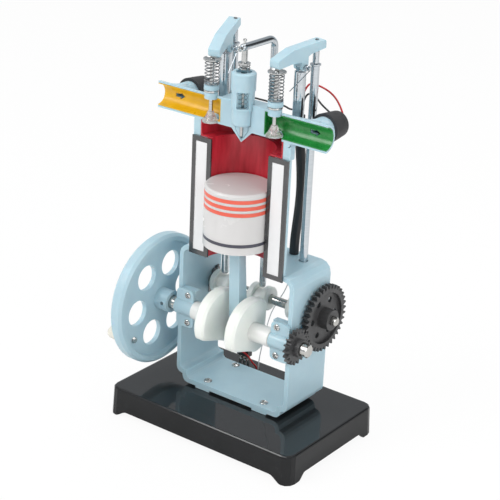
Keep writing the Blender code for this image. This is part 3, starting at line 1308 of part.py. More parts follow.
def make_cam(name, x, peak):
    """A spool: two flanges, and between them an eccentric floor whose peak points at an angle."""
    half = CAM_WIDTH / 2
    groove = CAM_GROOVE / 2
    sides = ROUND
    cam = rod(name, "X", CAM_Y, CAM_Z, CAM_FLANGE, x - half, x + half, sides)
    bevel = cam.modifiers.new("bevel", "BEVEL")
    bevel.width = CAM_EDGE
    bevel.segments = 1
    bevel.limit_method = "ANGLE"
    bpy.context.view_layer.update()
    graph = bpy.context.evaluated_depsgraph_get()
    cam.data = bpy.data.meshes.new_from_object(cam.evaluated_get(graph))
    cam.modifiers.clear()
    ring = rod("ring", "X", CAM_Y, CAM_Z, CAM_FLANGE + OVERRUN, x - groove, x + groove, sides)
    floor = []
    for k in range(sides):
        angle = 2 * math.pi * k / sides
        rise = CAM_LIFT * max(0.0, math.cos(angle - peak)) ** 2
        floor.append((CAM_Y + (CAM_BASE + rise) * math.cos(angle),
                      CAM_Z + (CAM_BASE + rise) * math.sin(angle)))
    cut(ring, prism("floor", "X", floor, x - groove - OVERRUN, x + groove + OVERRUN))
    cut(cam, ring)
    return cut(cam, rod("bore", "X", CAM_Y, CAM_Z, CAMSHAFT_RADIUS + TOUCH, x - CAM_WIDTH,
                        x + CAM_WIDTH, SMALL))


def make_connecting_rod():
    """The tapered rod: a big end round the crank pin and a small end between the gudgeon stubs."""
    foot = Vector((PIN_Y, PIN_Z))
    top = Vector((PLANE_Y, GUDGEON_Z))
    along = (top - foot).normalized()
    across = Vector((along.y, -along.x))
    big = rod("connecting_rod", "X", PIN_Y, PIN_Z, ROD_BIG_END, -ROD_WIDTH / 2, ROD_WIDTH / 2)
    shank = [foot + across * ROD_WAIST_BOTTOM, top + across * ROD_WAIST_TOP,
             top - across * ROD_WAIST_TOP, foot - across * ROD_WAIST_BOTTOM]
    join(big, prism("shank", "X", [tuple(point) for point in shank], -ROD_WIDTH / 2, ROD_WIDTH / 2))
    join(big, rod("small", "X", PLANE_Y, GUDGEON_Z, ROD_SMALL_END, -ROD_WIDTH / 2, ROD_WIDTH / 2))
    span = (-ROD_WIDTH, ROD_WIDTH)
    cut(big, rod("bore", "X", PIN_Y, PIN_Z, PIN_RADIUS + RUNNING, *span, SMALL))
    return cut(big, rod("bore", "X", PLANE_Y, GUDGEON_Z, GUDGEON_RADIUS, *span, TINY))


def make_piston():
    """The piston: crown, skirt, ring grooves, and bosses with the gudgeon's two stubs."""
    top = DECK + PISTON_TOP
    low = top - PISTON_HEIGHT
    radius = PISTON_RADIUS
    floor = radius - RING_DEPTH - TOUCH / 2
    profile = [(radius - PISTON_WALL, low), (radius, low)]
    for bottom, width in ring_spans():
        profile += [(radius, bottom), (floor, bottom), (floor, bottom + width), (radius, bottom + width)]
    profile += [(radius, top - PISTON_EDGE), (radius - PISTON_EDGE, top), (0, top)]
    inside = [(0, top - PISTON_CROWN), (radius - PISTON_WALL, top - PISTON_CROWN)]
    profile = inside + profile
    piston = turned("piston", "Z", 0, PLANE_Y, profile, FINE)
    start = ROD_WIDTH / 2 + TOUCH
    for side in (-1, 1):
        flare = side * (radius - PISTON_WALL - 2 * GUDGEON_RADIUS)
        wall = side * (radius - PISTON_WALL * 0.75)
        stub = [(0, side * start), (GUDGEON_RADIUS, side * start), (GUDGEON_RADIUS, flare),
                (2 * GUDGEON_RADIUS, flare), (2 * GUDGEON_RADIUS, wall), (0, wall)]
        join(piston, turned("stub", "X", PLANE_Y, GUDGEON_Z, stub, SMALL))
    return piston


def ring_spans():
    """Bottom and width of each ring groove, lowest first, with room round the rings."""
    top = DECK + PISTON_TOP
    spans = [(top - PISTON_HEIGHT + OIL_RING_RISE, OIL_RING_WIDTH)]
    for k in reversed(range(3)):
        spans.append((top - RING_TOP - k * RING_PITCH - RING_WIDTH, RING_WIDTH))
    return spans


def make_ring(name, span):
    bottom, width = span
    inner = PISTON_RADIUS - RING_DEPTH + TOUCH / 2
    low = bottom + TOUCH / 2
    high = bottom + width - TOUCH / 2
    profile = [(inner, low), (PISTON_RADIUS, low), (PISTON_RADIUS, high), (inner, high)]
    return turned(name, "Z", 0, PLANE_Y, profile, FINE, closed=True)


def sleeve_route():
    """The sleeve stands on the frame's top and bows a little to the back on its way to the lamps."""
    low = DECK + FRAME_TOP + TOUCH
    high = DECK + SLEEVE_TOP
    x = SLEEVE_X
    y = PLANE_Y + SLEEVE_BACK
    middle = (low + high) / 2
    straight = 3 * SLEEVE_RADIUS
    return [(x, y, low), (x, y, low + straight), (x + SLEEVE_BOW, y, middle),
            (x - SLEEVE_BOW / 2, y, high - straight), (x - SLEEVE_BOW / 2, y, high)]


def make_sleeve():
    points = smooth_route(sleeve_route(), 3 * SLEEVE_RADIUS)
    sleeve = tube("wire_sleeve", points, SLEEVE_RADIUS, 2)
    low = Vector(points[0]) - (Vector(points[1]) - Vector(points[0])).normalized() * OVERRUN
    high = Vector(points[-1]) + (Vector(points[-1]) - Vector(points[-2])).normalized() * OVERRUN
    return cut(sleeve, tube("bore", [low] + points + [high], SLEEVE_BORE, 2))


def lamp_routes():
    """Out of the sleeve's mouth: a red and a black wire to one lamp, a black one to the other."""
    x, y, z = sleeve_route()[-1]
    lamp_z = port_axis_z()
    back = y + WIRE_BACK
    cap_end = CAP_BACK - CAP_WALL
    lane = WIRE_RADIUS + TOUCH
    mouth = z - WIRE_TUCK
    step = WIRE_SPREAD
    ex = EXHAUST_STUB_X
    red = [(x + lane, y, mouth), (x + lane, y, z + step), (x - step, y + 2 * step, z + RED_RISE / 2),
           (x + step, back + step, z + 0.94 * RED_RISE), (x + 7 * step, back + step, z + RED_RISE),
           (x + 16 * step, back, z + 0.9 * RED_RISE),
           (x + 23 * step, CAP_BACK + 6 * step, z + RED_RISE * RED_FALL),
           (ex + lane, CAP_BACK + 3 * step, lamp_z + 4 * step), (ex + lane, CAP_BACK + step, lamp_z),
           (ex + lane, cap_end, lamp_z)]
    black = [(x - lane, y + lane, mouth), (x - lane, y + lane, z + step),
             (x, back + step, z + 0.9 * BLACK_RISE), (x + 5 * step, back + step, z + BLACK_RISE),
             (x + 12 * step, back - step, z + BLACK_RISE * RED_FALL),
             (ex - 9 * step, CAP_BACK + 6 * step, lamp_z + 2 * step), (ex - lane, CAP_BACK + step, lamp_z),
             (ex - lane, cap_end, lamp_z)]
    left = [(x - lane, y - lane, mouth), (x - lane, y - lane, z + 1.5 * step),
            (x - 3 * step, y, z + 2.2 * step), (x - 9 * step, y + 2 * step, z + 0.8 * LEFT_RISE),
            (0, back, z + LEFT_RISE),
            (-INTAKE_STUB_X / 2, back, z + LEFT_RISE),
            (-INTAKE_STUB_X + 6 * step, CAP_BACK + 6 * step, lamp_z + step / 2),
            (-INTAKE_STUB_X, CAP_BACK + step, lamp_z),
            (-INTAKE_STUB_X, cap_end, lamp_z)]
    return red, black, left


def make_wire(name, route, radius):
    return tube(name, smooth_route(route, WIRE_BEND), radius, 2 if radius == WIRE_RADIUS else 1)


def make_switch():
    """The small switch behind the frame, standing on its pins."""
    pin_top = DECK + TOUCH + SWITCH_PIN_LENGTH
    body = box("micro_switch", (SWITCH_X - SWITCH_WIDTH / 2, SWITCH_X + SWITCH_WIDTH / 2),
               (SWITCH_Y - SWITCH_DEPTH / 2, SWITCH_Y + SWITCH_DEPTH / 2),
               (pin_top, pin_top + SWITCH_HEIGHT))
    for k in (-1, 0, 1):
        x = SWITCH_X + k * SWITCH_PIN_PITCH
        join(body, box("pin", (x - SWITCH_PIN_WIDTH / 2, x + SWITCH_PIN_WIDTH / 2),
                       (SWITCH_Y - SWITCH_PIN_THICKNESS, SWITCH_Y + SWITCH_PIN_THICKNESS),
                       (DECK + TOUCH, pin_top + SWITCH_PIN_THICKNESS)))
    return body


def switch_routes():
    """A thin wire from under the frame's top, and a red one from the switch, both into the base."""
    hole_x = SWITCH_X + 2 * SWITCH_PIN_PITCH + SWITCH_WIDTH / 2
    top_z = DECK + FRAME_TOP + TOUCH
    sleeve_x, sleeve_y, _ = sleeve_route()[0]
    step = THIN_STEP
    thin = [(sleeve_x, sleeve_y, top_z), (sleeve_x, sleeve_y, top_z - 3 * step),
            (sleeve_x - 3 * step, sleeve_y + 2 * step, top_z - 10 * step),
            (hole_x + 3 * step, SWITCH_Y, DECK + 15 * step),
            (hole_x + 0.75 * step, SWITCH_Y, DECK + 5 * step),
            (hole_x + WIRE_RADIUS, SWITCH_Y, DECK), (hole_x + WIRE_RADIUS, SWITCH_Y, DECK - BASE_WALL)]
    step = RED_STEP
    front = SWITCH_Y - SWITCH_DEPTH / 2 - WIRE_RADIUS - TOUCH
    pin_top = DECK + TOUCH + SWITCH_PIN_LENGTH
    end_x = hole_x - 0.9 * step
    red = [(SWITCH_X - 2 * step, front, pin_top + 5 * step),
           (SWITCH_X + 3 * step, front, pin_top + 4.5 * step),
           (SWITCH_X + 8 * step, front, pin_top + 2 * step),
           (end_x - 3 * step, front + step, DECK + 7 * step),
           (end_x - 0.5 * step, SWITCH_Y - step, DECK + 3 * step),
           (end_x, SWITCH_Y, DECK), (end_x, SWITCH_Y, DECK - BASE_WALL)]
    return thin, red


def make_contact():
    """The brass blade on the left wall that bears under the camshaft, with its screw."""
    wall = -FRAME_WIDTH / 2 + FRAME_WALL + TOUCH
    y = CAM_Y + CAMSHAFT_RADIUS + RUNNING + CONTACT_WIDTH / 2
    top = CAM_Z + CONTACT_SCREW_RISE + CONTACT_WIDTH / 2
    blade = box("contact_blade", (wall, wall + CONTACT_THICKNESS),
                (y - CONTACT_WIDTH / 2, y + CONTACT_WIDTH / 2),
                (top - CONTACT_HEIGHT, top))
    foot_z = CAM_Z - CAMSHAFT_RADIUS - RUNNING - CONTACT_THICKNESS
    foot_y = y + CONTACT_WIDTH / 2
    foot = box("foot", (wall, wall + CONTACT_THICKNESS), (CAM_Y - CAMSHAFT_RADIUS, foot_y),
               (foot_z - CONTACT_FOOT, foot_z))
    shelf = box("shelf", (wall, -PUSHROD_X - CAM_WIDTH / 2 - TOUCH),
                (CAM_Y - CAMSHAFT_RADIUS, CAM_Y + CAMSHAFT_RADIUS / 2),
                (foot_z - CONTACT_THICKNESS, foot_z))
    join(blade, foot, shelf)
    head = turned("head", "X", y, CAM_Z + CONTACT_SCREW_RISE,
                  [(0, wall + CONTACT_THICKNESS / 2), (SCREW_HEAD, wall + CONTACT_THICKNESS / 2),
                   (SCREW_HEAD, wall + CONTACT_THICKNESS + SCREW_HEAD_HEIGHT / 2),
                   (SCREW_HEAD * 0.7, wall + CONTACT_THICKNESS + SCREW_HEAD_HEIGHT),
                   (0, wall + CONTACT_THICKNESS + SCREW_HEAD_HEIGHT)], SMALL)
    return join(blade, head)


def main():
    clear_scene()
    light_blue = paint("light blue plastic", 0.43, 0.63, 0.74, 0.35, 0)
    black = paint("black plastic", 0.03, 0.032, 0.035, 0.2, 0)
    gear_black = paint("black gear plastic", 0.035, 0.035, 0.037, 0.45, 0)
    milky = paint("milky plastic", 0.76, 0.79, 0.76, 0.35, 0)
    white = paint("white panel", 0.85, 0.85, 0.85, 0.15, 0)
    red = paint("red lining", 0.42, 0.03, 0.04, 0.4, 0)
    orange = paint("orange ring", 0.85, 0.14, 0.09, 0.4, 0)
    grey = paint("grey ring", 0.12, 0.12, 0.16, 0.4, 0)
    yellow = paint("yellow lining", 0.75, 0.42, 0.0, 0.35, 0)
    green = paint("green lining", 0.02, 0.24, 0.05, 0.35, 0)
    chrome = paint("chrome", 0.72, 0.75, 0.77, 0.12, 1)
    steel = paint("steel", 0.62, 0.62, 0.6, 0.28, 1)
    brass = paint("brass", 0.7, 0.45, 0.2, 0.35, 1)
    rubber = paint("rubber", 0.045, 0.045, 0.047, 0.7, 0)
    cream = paint("cream plastic", 0.72, 0.68, 0.52, 0.4, 0)
    clear = paint("clear plastic", 0.75, 0.72, 0.7, 0.15, 0)
    wire_red = paint("red wire", 0.6, 0.02, 0.02, 0.4, 0)

    stand = place_empty("stand", ENGINE_X, ENGINE_Y, 0)
    crank = place_empty("crank_axis", 0, PLANE_Y, CRANK_Z)
    knob_axis = place_empty("handle_axis", 0, HANDLE_Y, HANDLE_Z)
    pin_axis = place_empty("crank_pin_axis", 0, PIN_Y, PIN_Z)
    cam_axis = place_empty("camshaft_axis", 0, CAM_Y, CAM_Z)
    piston_axis = place_empty("piston_axis", 0, PLANE_Y, GUDGEON_Z)
    injector_axis = place_empty("injector_axis", 0, PLANE_Y, DECK + INJECTOR_TOP)
    engine = place_empty("engine", 0, 0, 0)

    for maker, material in ((make_base, black), (make_frame, light_blue), (make_cylinder, light_blue),
                            (make_liner, red), (make_head, light_blue), (make_injector_body, light_blue),
                            (make_nozzle, clear), (make_sleeve, rubber), (make_switch, black),
                            (make_contact, brass)):
        give(maker(), material, engine)
    red_route, black_route, left_route = lamp_routes()
    thin_route, switch_route = switch_routes()
    for name, route, radius, material in (("exhaust_lamp_wire_red", red_route, WIRE_RADIUS, wire_red),
                                          ("exhaust_lamp_wire_black", black_route, WIRE_RADIUS, black),
                                          ("intake_lamp_wire", left_route, WIRE_RADIUS, black),
                                          ("switch_wire_red", switch_route, WIRE_RADIUS, wire_red),
                                          ("sleeve_wire", thin_route, THIN_WIRE_RADIUS, rubber)):
        give(make_wire(name, route, radius), material, engine)
    sides = (("left", -1), ("right", 1))
    for word, side in sides:
        give(make_bearing_cap("bearing_cap_" + word, side), light_blue, engine)
        give(make_section_panel("section_panel_" + word, side), white, engine)
        give(make_web("crank_web_" + word, side), milky, crank)
    for maker, material in ((make_crank_gear, gear_black), (make_flywheel, light_blue),
                            (make_handle_screw, chrome)):
        give(maker(), material, crank)
    give(make_journal("crankshaft_left", -1, SHAFT_LEFT_END), steel, crank)
    give(make_journal("crankshaft_right", 1, SHAFT_RIGHT_END), steel, crank)
    give(make_handle(), cream, knob_axis)
    give(make_camshaft(), steel, cam_axis)
    give(make_cam_gear(), gear_black, cam_axis)
    for name, x, peak in (("intake_cam", -PUSHROD_X, INTAKE_PEAK), ("injector_cam", 0, INJECTOR_PEAK),
                          ("exhaust_cam", PUSHROD_X, EXHAUST_PEAK)):
        give(make_cam(name, x, peak), milky, cam_axis)
    give(make_connecting_rod(), light_blue, pin_axis)
    give(make_piston(), milky, piston_axis)
    for name, span in zip(("oil_ring", "lower_ring", "middle_ring", "top_ring"), ring_spans()):
        give(make_ring(name, span), grey if name == "oil_ring" else orange, piston_axis)
    give(make_injector_rod(), chrome, injector_axis)
    give(make_injector_spring(), steel, injector_axis)

    for word, side, drop, lining in (("intake", -1, VALVE_LIFT, yellow), ("exhaust", 1, 0.0, green)):
        valve_axis = place_empty(word + "_valve_axis", side * VALVE_X, PLANE_Y, DECK + STEM_TOP - drop)
        pushrod_axis = place_empty(word + "_pushrod_axis", side * PUSHROD_X, CAM_Y, FOLLOWER_Z)
        tilt = OPEN_TILT * drop / VALVE_LIFT
        turn = Matrix.Rotation(arm_turn(side), 4, "Z") @ Matrix.Rotation(tilt, 4, "X")
        rocker_axis = place_empty(word + "_rocker_axis", side * PIVOT_X, PIVOT_Y, DECK + PIVOT_RISE,
                                  None, turn)
        give(make_port_lining(word + "_port_lining", side), lining, engine)
        give(make_valve_guide(word + "_valve_guide", side), light_blue, engine)
        give(make_post(word + "_rocker_post", side), chrome, engine)
        give(make_lamp_cap(word + "_lamp_cap", side), rubber, engine)
        give(make_bulb(word + "_lamp_bulb", side), white, engine)
        give(make_valve_stem(word + "_valve_stem", side, drop), steel, valve_axis)
        give(make_valve_head(word + "_valve_head", side, drop), clear, valve_axis)
        give(make_valve_spring(word + "_valve_spring", side, drop), steel, valve_axis)
        give(make_pushrod(word + "_pushrod", side, PUSHROD_LIFT * drop / VALVE_LIFT), chrome, pushrod_axis)
        give(make_rocker(word + "_rocker", rocker_axis), light_blue, rocker_axis)
        for axis in (valve_axis, pushrod_axis, rocker_axis):
            axis.parent = stand

    for axis in (crank, knob_axis, pin_axis, cam_axis, piston_axis, injector_axis, engine):
        axis.parent = stand
    bpy.context.view_layer.update()


main()
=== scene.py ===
# Looks for the cut-open four stroke engine model: the finish of every moulded, turned and wound
# piece, and the screws, springs and leads that the solids leave plain. s is a piece's settings.
import math
import bpy
import bmesh
import numpy as np
from mathutils import Matrix, Vector


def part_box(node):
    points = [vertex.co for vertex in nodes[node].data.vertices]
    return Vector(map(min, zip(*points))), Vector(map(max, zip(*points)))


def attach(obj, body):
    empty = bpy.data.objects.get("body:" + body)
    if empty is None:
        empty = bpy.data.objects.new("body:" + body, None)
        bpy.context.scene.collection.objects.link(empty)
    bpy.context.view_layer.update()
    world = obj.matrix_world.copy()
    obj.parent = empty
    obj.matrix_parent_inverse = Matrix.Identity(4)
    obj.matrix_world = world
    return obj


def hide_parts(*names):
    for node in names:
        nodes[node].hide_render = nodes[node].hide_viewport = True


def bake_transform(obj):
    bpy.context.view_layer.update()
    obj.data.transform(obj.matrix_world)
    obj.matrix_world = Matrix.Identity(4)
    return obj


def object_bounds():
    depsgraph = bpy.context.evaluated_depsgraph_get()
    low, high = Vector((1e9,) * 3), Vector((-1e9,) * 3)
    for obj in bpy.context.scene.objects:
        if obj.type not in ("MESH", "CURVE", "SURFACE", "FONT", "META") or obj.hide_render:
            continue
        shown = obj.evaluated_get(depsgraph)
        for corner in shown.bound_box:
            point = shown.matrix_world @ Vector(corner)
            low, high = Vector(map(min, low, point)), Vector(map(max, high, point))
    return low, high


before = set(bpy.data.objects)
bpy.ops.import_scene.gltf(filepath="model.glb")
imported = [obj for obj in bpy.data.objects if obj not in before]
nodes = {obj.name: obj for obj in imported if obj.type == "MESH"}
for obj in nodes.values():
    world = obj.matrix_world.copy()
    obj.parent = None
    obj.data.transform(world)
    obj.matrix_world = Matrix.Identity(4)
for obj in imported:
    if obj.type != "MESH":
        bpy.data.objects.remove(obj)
cadLow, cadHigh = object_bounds()
print("solids in place:", len(nodes))

# meshes: grids of points, profiles turned about an axis and tubes along a line

millimetre = 0.001
meshSettings = {"sameVertex": 1e-7, "noLength": 1e-8, "sharpDegrees": 32, "stepsPerSpan": 40,
                "fewestPoints": 6, "roundSides": 40, "wireSides": 12, "domeRings": (0.0, 0.5, 0.85),
                "domeHeight": 0.6, "nearlyUpright": 0.9, "betweenEndCurls": 0.0002}
made = {}  # every finish by its name, filled further down


def wear(piece, word):
    # the piece gets this one finish and loses what it had before
    piece.data.materials.clear()
    piece.data.materials.append(made[word])
    return piece


def gridPiece(name, points, closedAround=True, smooth=True):
    # one vertex for each (row, column) of the point grid and one quad between neighbours, with the
    # columns joined back on themselves when closedAround is set; rings of no size close to a point
    rows, columns = points.shape[:2]
    index = np.arange(rows * columns).reshape(rows, columns)
    nextColumn = np.roll(index, -1, axis=1)
    last = columns if closedAround else columns - 1
    corners = (index[:-1, :last], nextColumn[:-1, :last], nextColumn[1:, :last], index[1:, :last])
    quads = np.stack(corners, axis=-1)
    mesh = bpy.data.meshes.new(name)
    mesh.from_pydata(points.reshape(-1, 3).tolist(), [], quads.reshape(-1, 4).tolist())
    closed = bmesh.new()
    closed.from_mesh(mesh)
    bmesh.ops.remove_doubles(closed, verts=closed.verts, dist=meshSettings["sameVertex"])
    bmesh.ops.dissolve_degenerate(closed, edges=closed.edges, dist=meshSettings["noLength"])
    bmesh.ops.recalc_face_normals(closed, faces=closed.faces)
    closed.to_mesh(mesh)
    closed.free()
    mesh.polygons.foreach_set("use_smooth", [smooth] * len(mesh.polygons))
    piece = bpy.data.objects.new(name, mesh)
    bpy.context.scene.collection.objects.link(piece)
    return piece


def sharpEdges(piece, degrees=meshSettings["sharpDegrees"]):
    # edges that bend by more than the given angle stay hard
    piece.data.set_sharp_from_angle(angle=math.radians(degrees))
    return piece


def facing(direction):
    # two unit vectors across a direction, and the direction itself, as the rows of a 3 x 3 array;
    # the first is across the z axis too, or across the x axis where the direction is nearly upright
    along = np.array(direction, float) / np.linalg.norm(direction)
    upright = abs(along[2]) > meshSettings["nearlyUpright"]
    across = np.cross((1.0, 0.0, 0.0) if upright else (0.0, 0.0, 1.0), along)
    across /= np.linalg.norm(across)
    return np.array([across, np.cross(along, across), along])


def smoothLine(points, spacing):
    # a Catmull-Rom line: between two points of the route a cubic, whose slope at each point is half
    # the step from the point before it to the point after it, read off at even steps of its length
    route = np.array(points, float)
    ends = np.vstack([2 * route[0] - route[1], route, 2 * route[-1] - route[-2]])
    a, b, c, d = (ends[k:len(ends) - 3 + k, None] for k in range(4))
    t = np.linspace(0, 1, meshSettings["stepsPerSpan"], endpoint=False)[None, :, None]
    fine = 0.5 * (2 * b + (c - a) * t + (2 * a - 5 * b + 4 * c - d) * t ** 2
                  + (3 * b - a - 3 * c + d) * t ** 3)
    fine = np.vstack([fine.reshape(-1, 3), route[-1]])
    walked = np.concatenate([[0], np.cumsum(np.linalg.norm(np.diff(fine, axis=0), axis=1))])
    count = max(meshSettings["fewestPoints"], int(walked[-1] / spacing))
    even = np.linspace(0, walked[-1], count)
    return np.stack([np.interp(even, walked, fine[:, k]) for k in range(3)], axis=1), walked[-1]


def turnedPiece(name, profile, place, toward, finish, sides=meshSettings["roundSides"]):
    # a profile of (radius, rise) carried round: each point is the place, plus the rise along the
    # axis, plus the radius times (cosine across + sine other); lengths in millimetres
    across, other, along = facing(toward)
    radius, rise = np.array(profile, float).T
    around = np.linspace(0, 2 * math.pi, sides, endpoint=False)
    ring = np.cos(around)[:, None] * across + np.sin(around)[:, None] * other
    points = np.array(place, float) + rise[:, None, None] * along + radius[:, None, None] * ring
    return sharpEdges(wear(gridPiece(name, points * millimetre), finish))


def tubePoints(line, outward, radius, sides=meshSettings["wireSides"]):
    # a ring about each point of the line, in the plane across its tangent: the radius times (cosine
    # outward + sine sideways), where sideways is across both; each end is drawn in to a dome
    tangent = np.gradient(line, axis=0)
    tangent /= np.linalg.norm(tangent, axis=1)[:, None]
    outward = outward - (outward * tangent).sum(1)[:, None] * tangent
    outward /= np.linalg.norm(outward, axis=1)[:, None]
    sideways = np.cross(tangent, outward)
    around = np.linspace(0, 2 * math.pi, sides, endpoint=False)
    ring = (np.cos(around)[None, :, None] * outward[:, None]
            + np.sin(around)[None, :, None] * sideways[:, None])
    domes = np.array(meshSettings["domeRings"])
    reach = radius * np.sqrt(1 - domes ** 2)[:, None] * meshSettings["domeHeight"]
    middles = np.vstack([line[0] - tangent[0] * reach, line, line[-1] + tangent[-1] * reach[::-1]])
    sizes = np.concatenate([domes, np.ones(len(line)), domes[::-1]]) * radius
    count = len(domes)
    ring = np.concatenate([np.repeat(ring[:1], count, 0), ring, np.repeat(ring[-1:], count, 0)])
    return middles[:, None] + sizes[:, None, None] * ring


def coiledWire(name, x, y, low, high, radius, curls, wire, count):
    # a tube along a helix: the angle grows evenly over all curls; the height grows with the square
    # of the turn in the first and last curl, where the wire lies on itself, and evenly between them
    turns = np.linspace(0, curls, count)
    low, high = low + wire, high - wire
    climb = 2 * wire + meshSettings["betweenEndCurls"]
    height = low + climb + (high - low - 2 * climb) * (turns - 1) / (curls - 2)
    height = np.where(turns < 1, low + climb * turns ** 2, height)
    height = np.where(turns > curls - 1, high - climb * (curls - turns) ** 2, height)
    angle = 2 * math.pi * turns
    line = np.stack([x + radius * np.cos(angle), y + radius * np.sin(angle), height], 1)
    outward = (line - np.array((x, y, 0.0))) * (1, 1, 0)
    return gridPiece(name, tubePoints(line, outward, wire))


# nodes: making, joining and grouping them

mixFactor, mixFirst, mixSecond, mixResult = 0, 6, 7, 2  # a Mix node's sockets for colours


def newNode(tree, kind, sockets=None, **options):
    # options are set on the node itself, sockets are inputs by name or number
    node = tree.nodes.new(kind)
    for word, value in options.items():
        setattr(node, word, value)
    setSockets(node, sockets or {})
    return node


def setSockets(node, sockets):
    # each input, by name or number, gets its plain value
    for word, value in sockets.items():
        node.inputs[word].default_value = value


def join(tree, *runs):
    # each run goes from an output of one node to an input of another
    for source, output, target, socket in runs:
        tree.links.new(source.outputs[output], target.inputs[socket])


def shaderGroup(name, inputs, outputs):
    # a group with float inputs at their defaults and float outputs, ready to be filled
    tree = bpy.data.node_groups.new(name, "ShaderNodeTree")
    for word, value in inputs.items():
        socket = tree.interface.new_socket(name=word, in_out="INPUT", socket_type="NodeSocketFloat")
        socket.default_value = value
    for word in outputs:
        tree.interface.new_socket(name=word, in_out="OUTPUT", socket_type="NodeSocketFloat")
    return tree, tree.nodes.new("NodeGroupInput"), tree.nodes.new("NodeGroupOutput")


def mouldedGrainGroup():
    # Mottle: slow cloud of the colour. Grain: fine skin of the mould. Flow: long faint lines.
    inputs, outputs = {"Cloud size": 60.0, "Grain size": 2200.0}, ("Mottle", "Grain", "Flow")
    tree, given, result = shaderGroup("mouldedGrain", inputs, outputs)
    place = newNode(tree, "ShaderNodeTexCoord")
    cloud = newNode(tree, "ShaderNodeTexNoise", {"Detail": 3.0, "Roughness": 0.55})
    grain = newNode(tree, "ShaderNodeTexNoise", {"Detail": 2.0, "Roughness": 0.6})
    stretch = newNode(tree, "ShaderNodeMapping", {"Scale": (1.0, 1.0, 0.18)})
    flow = newNode(tree, "ShaderNodeTexNoise", {"Detail": 4.0, "Roughness": 0.5})
    join(tree, (place, "Object", cloud, "Vector"), (place, "Object", grain, "Vector"),
         (place, "Object", stretch, "Vector"), (stretch, "Vector", flow, "Vector"),
         (given, "Cloud size", cloud, "Scale"), (given, "Cloud size", flow, "Scale"),
         (given, "Grain size", grain, "Scale"), (cloud, "Fac", result, "Mottle"),
         (grain, "Fac", result, "Grain"), (flow, "Fac", result, "Flow"))
    return tree


def handlingGroup():
    # Smudge: broad finger marks. Dust: small specks in patches, where both masks are up.
    inputs, outputs = {"Smudge size": 45.0, "Speck size": 900.0}, ("Smudge", "Dust")
    tree, given, result = shaderGroup("handling", inputs, outputs)
    place = newNode(tree, "ShaderNodeTexCoord")
    smudge = newNode(tree, "ShaderNodeTexNoise",
                     {"Detail": 4.0, "Roughness": 0.6, "Distortion": 0.6})
    specks = newNode(tree, "ShaderNodeTexVoronoi")
    small = newNode(tree, "ShaderNodeMapRange", {"From Min": 0.16, "From Max": 0.06})
    patches = newNode(tree, "ShaderNodeTexNoise", {"Scale": 130.0, "Detail": 2.0})
    rare = newNode(tree, "ShaderNodeMapRange", {"From Min": 0.55, "From Max": 0.68})
    dust = newNode(tree, "ShaderNodeMath", operation="MULTIPLY")
    join(tree, (place, "Object", smudge, "Vector"), (place, "Object", specks, "Vector"),
         (place, "Object", patches, "Vector"), (given, "Smudge size", smudge, "Scale"),
         (given, "Speck size", specks, "Scale"), (specks, "Distance", small, "Value"),
         (patches, "Fac", rare, "Value"), (small, "Result", dust, 0), (rare, "Result", dust, 1),
         (smudge, "Fac", result, "Smudge"), (dust, "Value", result, "Dust"))
    return tree


def turnedLinesGroup():
    # Lines: tool marks round a shaft, from noise squeezed along it. Patch: broad dull places.
    ways = ("Along X", "Along Y", "Along Z")
    tree, given, result = shaderGroup("turnedLines", dict.fromkeys(ways, 1.0), ("Lines", "Patch"))
    place = newNode(tree, "ShaderNodeTexCoord")
    stretch = newNode(tree, "ShaderNodeCombineXYZ")
    squeeze = newNode(tree, "ShaderNodeVectorMath", operation="MULTIPLY")
    lines = newNode(tree, "ShaderNodeTexNoise", {"Scale": 60.0, "Detail": 3.0, "Roughness": 0.6})
    patch = newNode(tree, "ShaderNodeTexNoise", {"Scale": 120.0, "Detail": 3.0, "Roughness": 0.6})
    join(tree, *((given, way, stretch, k) for k, way in enumerate(ways)))
    join(tree, (place, "Object", squeeze, 0), (stretch, "Vector", squeeze, 1),
         (squeeze, "Vector", lines, "Vector"), (place, "Object", patch, "Vector"),
         (lines, "Fac", result, "Lines"), (patch, "Fac", result, "Patch"))
    return tree


mouldedGrain, handling, turnedLines = mouldedGrainGroup(), handlingGroup(), turnedLinesGroup()


def startMaterial(name, shown):
    # the material, its node tree and its shader; shown is its colour in the plain viewport
    material = bpy.data.materials.new(name)
    material.use_nodes = True
    material.diffuse_color = (*shown, 1)
    return material, material.node_tree, material.node_tree.nodes["Principled BSDF"]


def placeGroup(tree, group, sockets):
    # a shader group placed in a material, with the material's own values
    return newNode(tree, "ShaderNodeGroup", sockets, node_tree=group)


def mixedColor(tree, factor, first, second):
    # the first colour where the factor is 0, the second where it is 1
    colors = {mixFirst: (*first, 1), mixSecond: (*second, 1)}
    mix = newNode(tree, "ShaderNodeMix", colors, data_type="RGBA")
    tree.links.new(factor, mix.inputs[mixFactor])
    return mix


def spread(tree, value, low, high, fromLow=0.3, fromHigh=0.7):
    # a mask's middle range drawn out to low ... high
    ends = {"From Min": fromLow, "From Max": fromHigh, "To Min": low, "To Max": high}
    reach = newNode(tree, "ShaderNodeMapRange", ends)
    tree.links.new(value, reach.inputs["Value"])
    return reach.outputs["Result"]


def addBump(tree, shader, source, output, strength, relief):
    # the output is read as a height, as deep as the relief in metres, and tilts the normal
    bump = newNode(tree, "ShaderNodeBump", {"Strength": strength, "Distance": relief})
    join(tree, (source, output, bump, "Height"), (bump, "Normal", shader, "Normal"))


# what a plastic has unless its own row says otherwise
plasticUsual = {"cloud": 60.0, "grain": 2200.0, "smudge": 45.0, "speck": 900.0, "pattern": "Mottle",
                "dust": 0.15, "dustColor": (0.7, 0.7, 0.68), "flow": 0.5, "bump": 0.08,
                "relief": 0.00012, "glow": 0.0, "glowDepth": 0.002, "glowColor": (1.0, 1.0, 1.0),
                "specular": 0.5, "coatRough": 0.05, "upwardCoat": 0.0, "coatFrom": 0.4,
                "coatFull": 0.9, "paintedGlowStrength": 0.0, "paintedGlowTint": (1.0, 1.0, 1.0)}


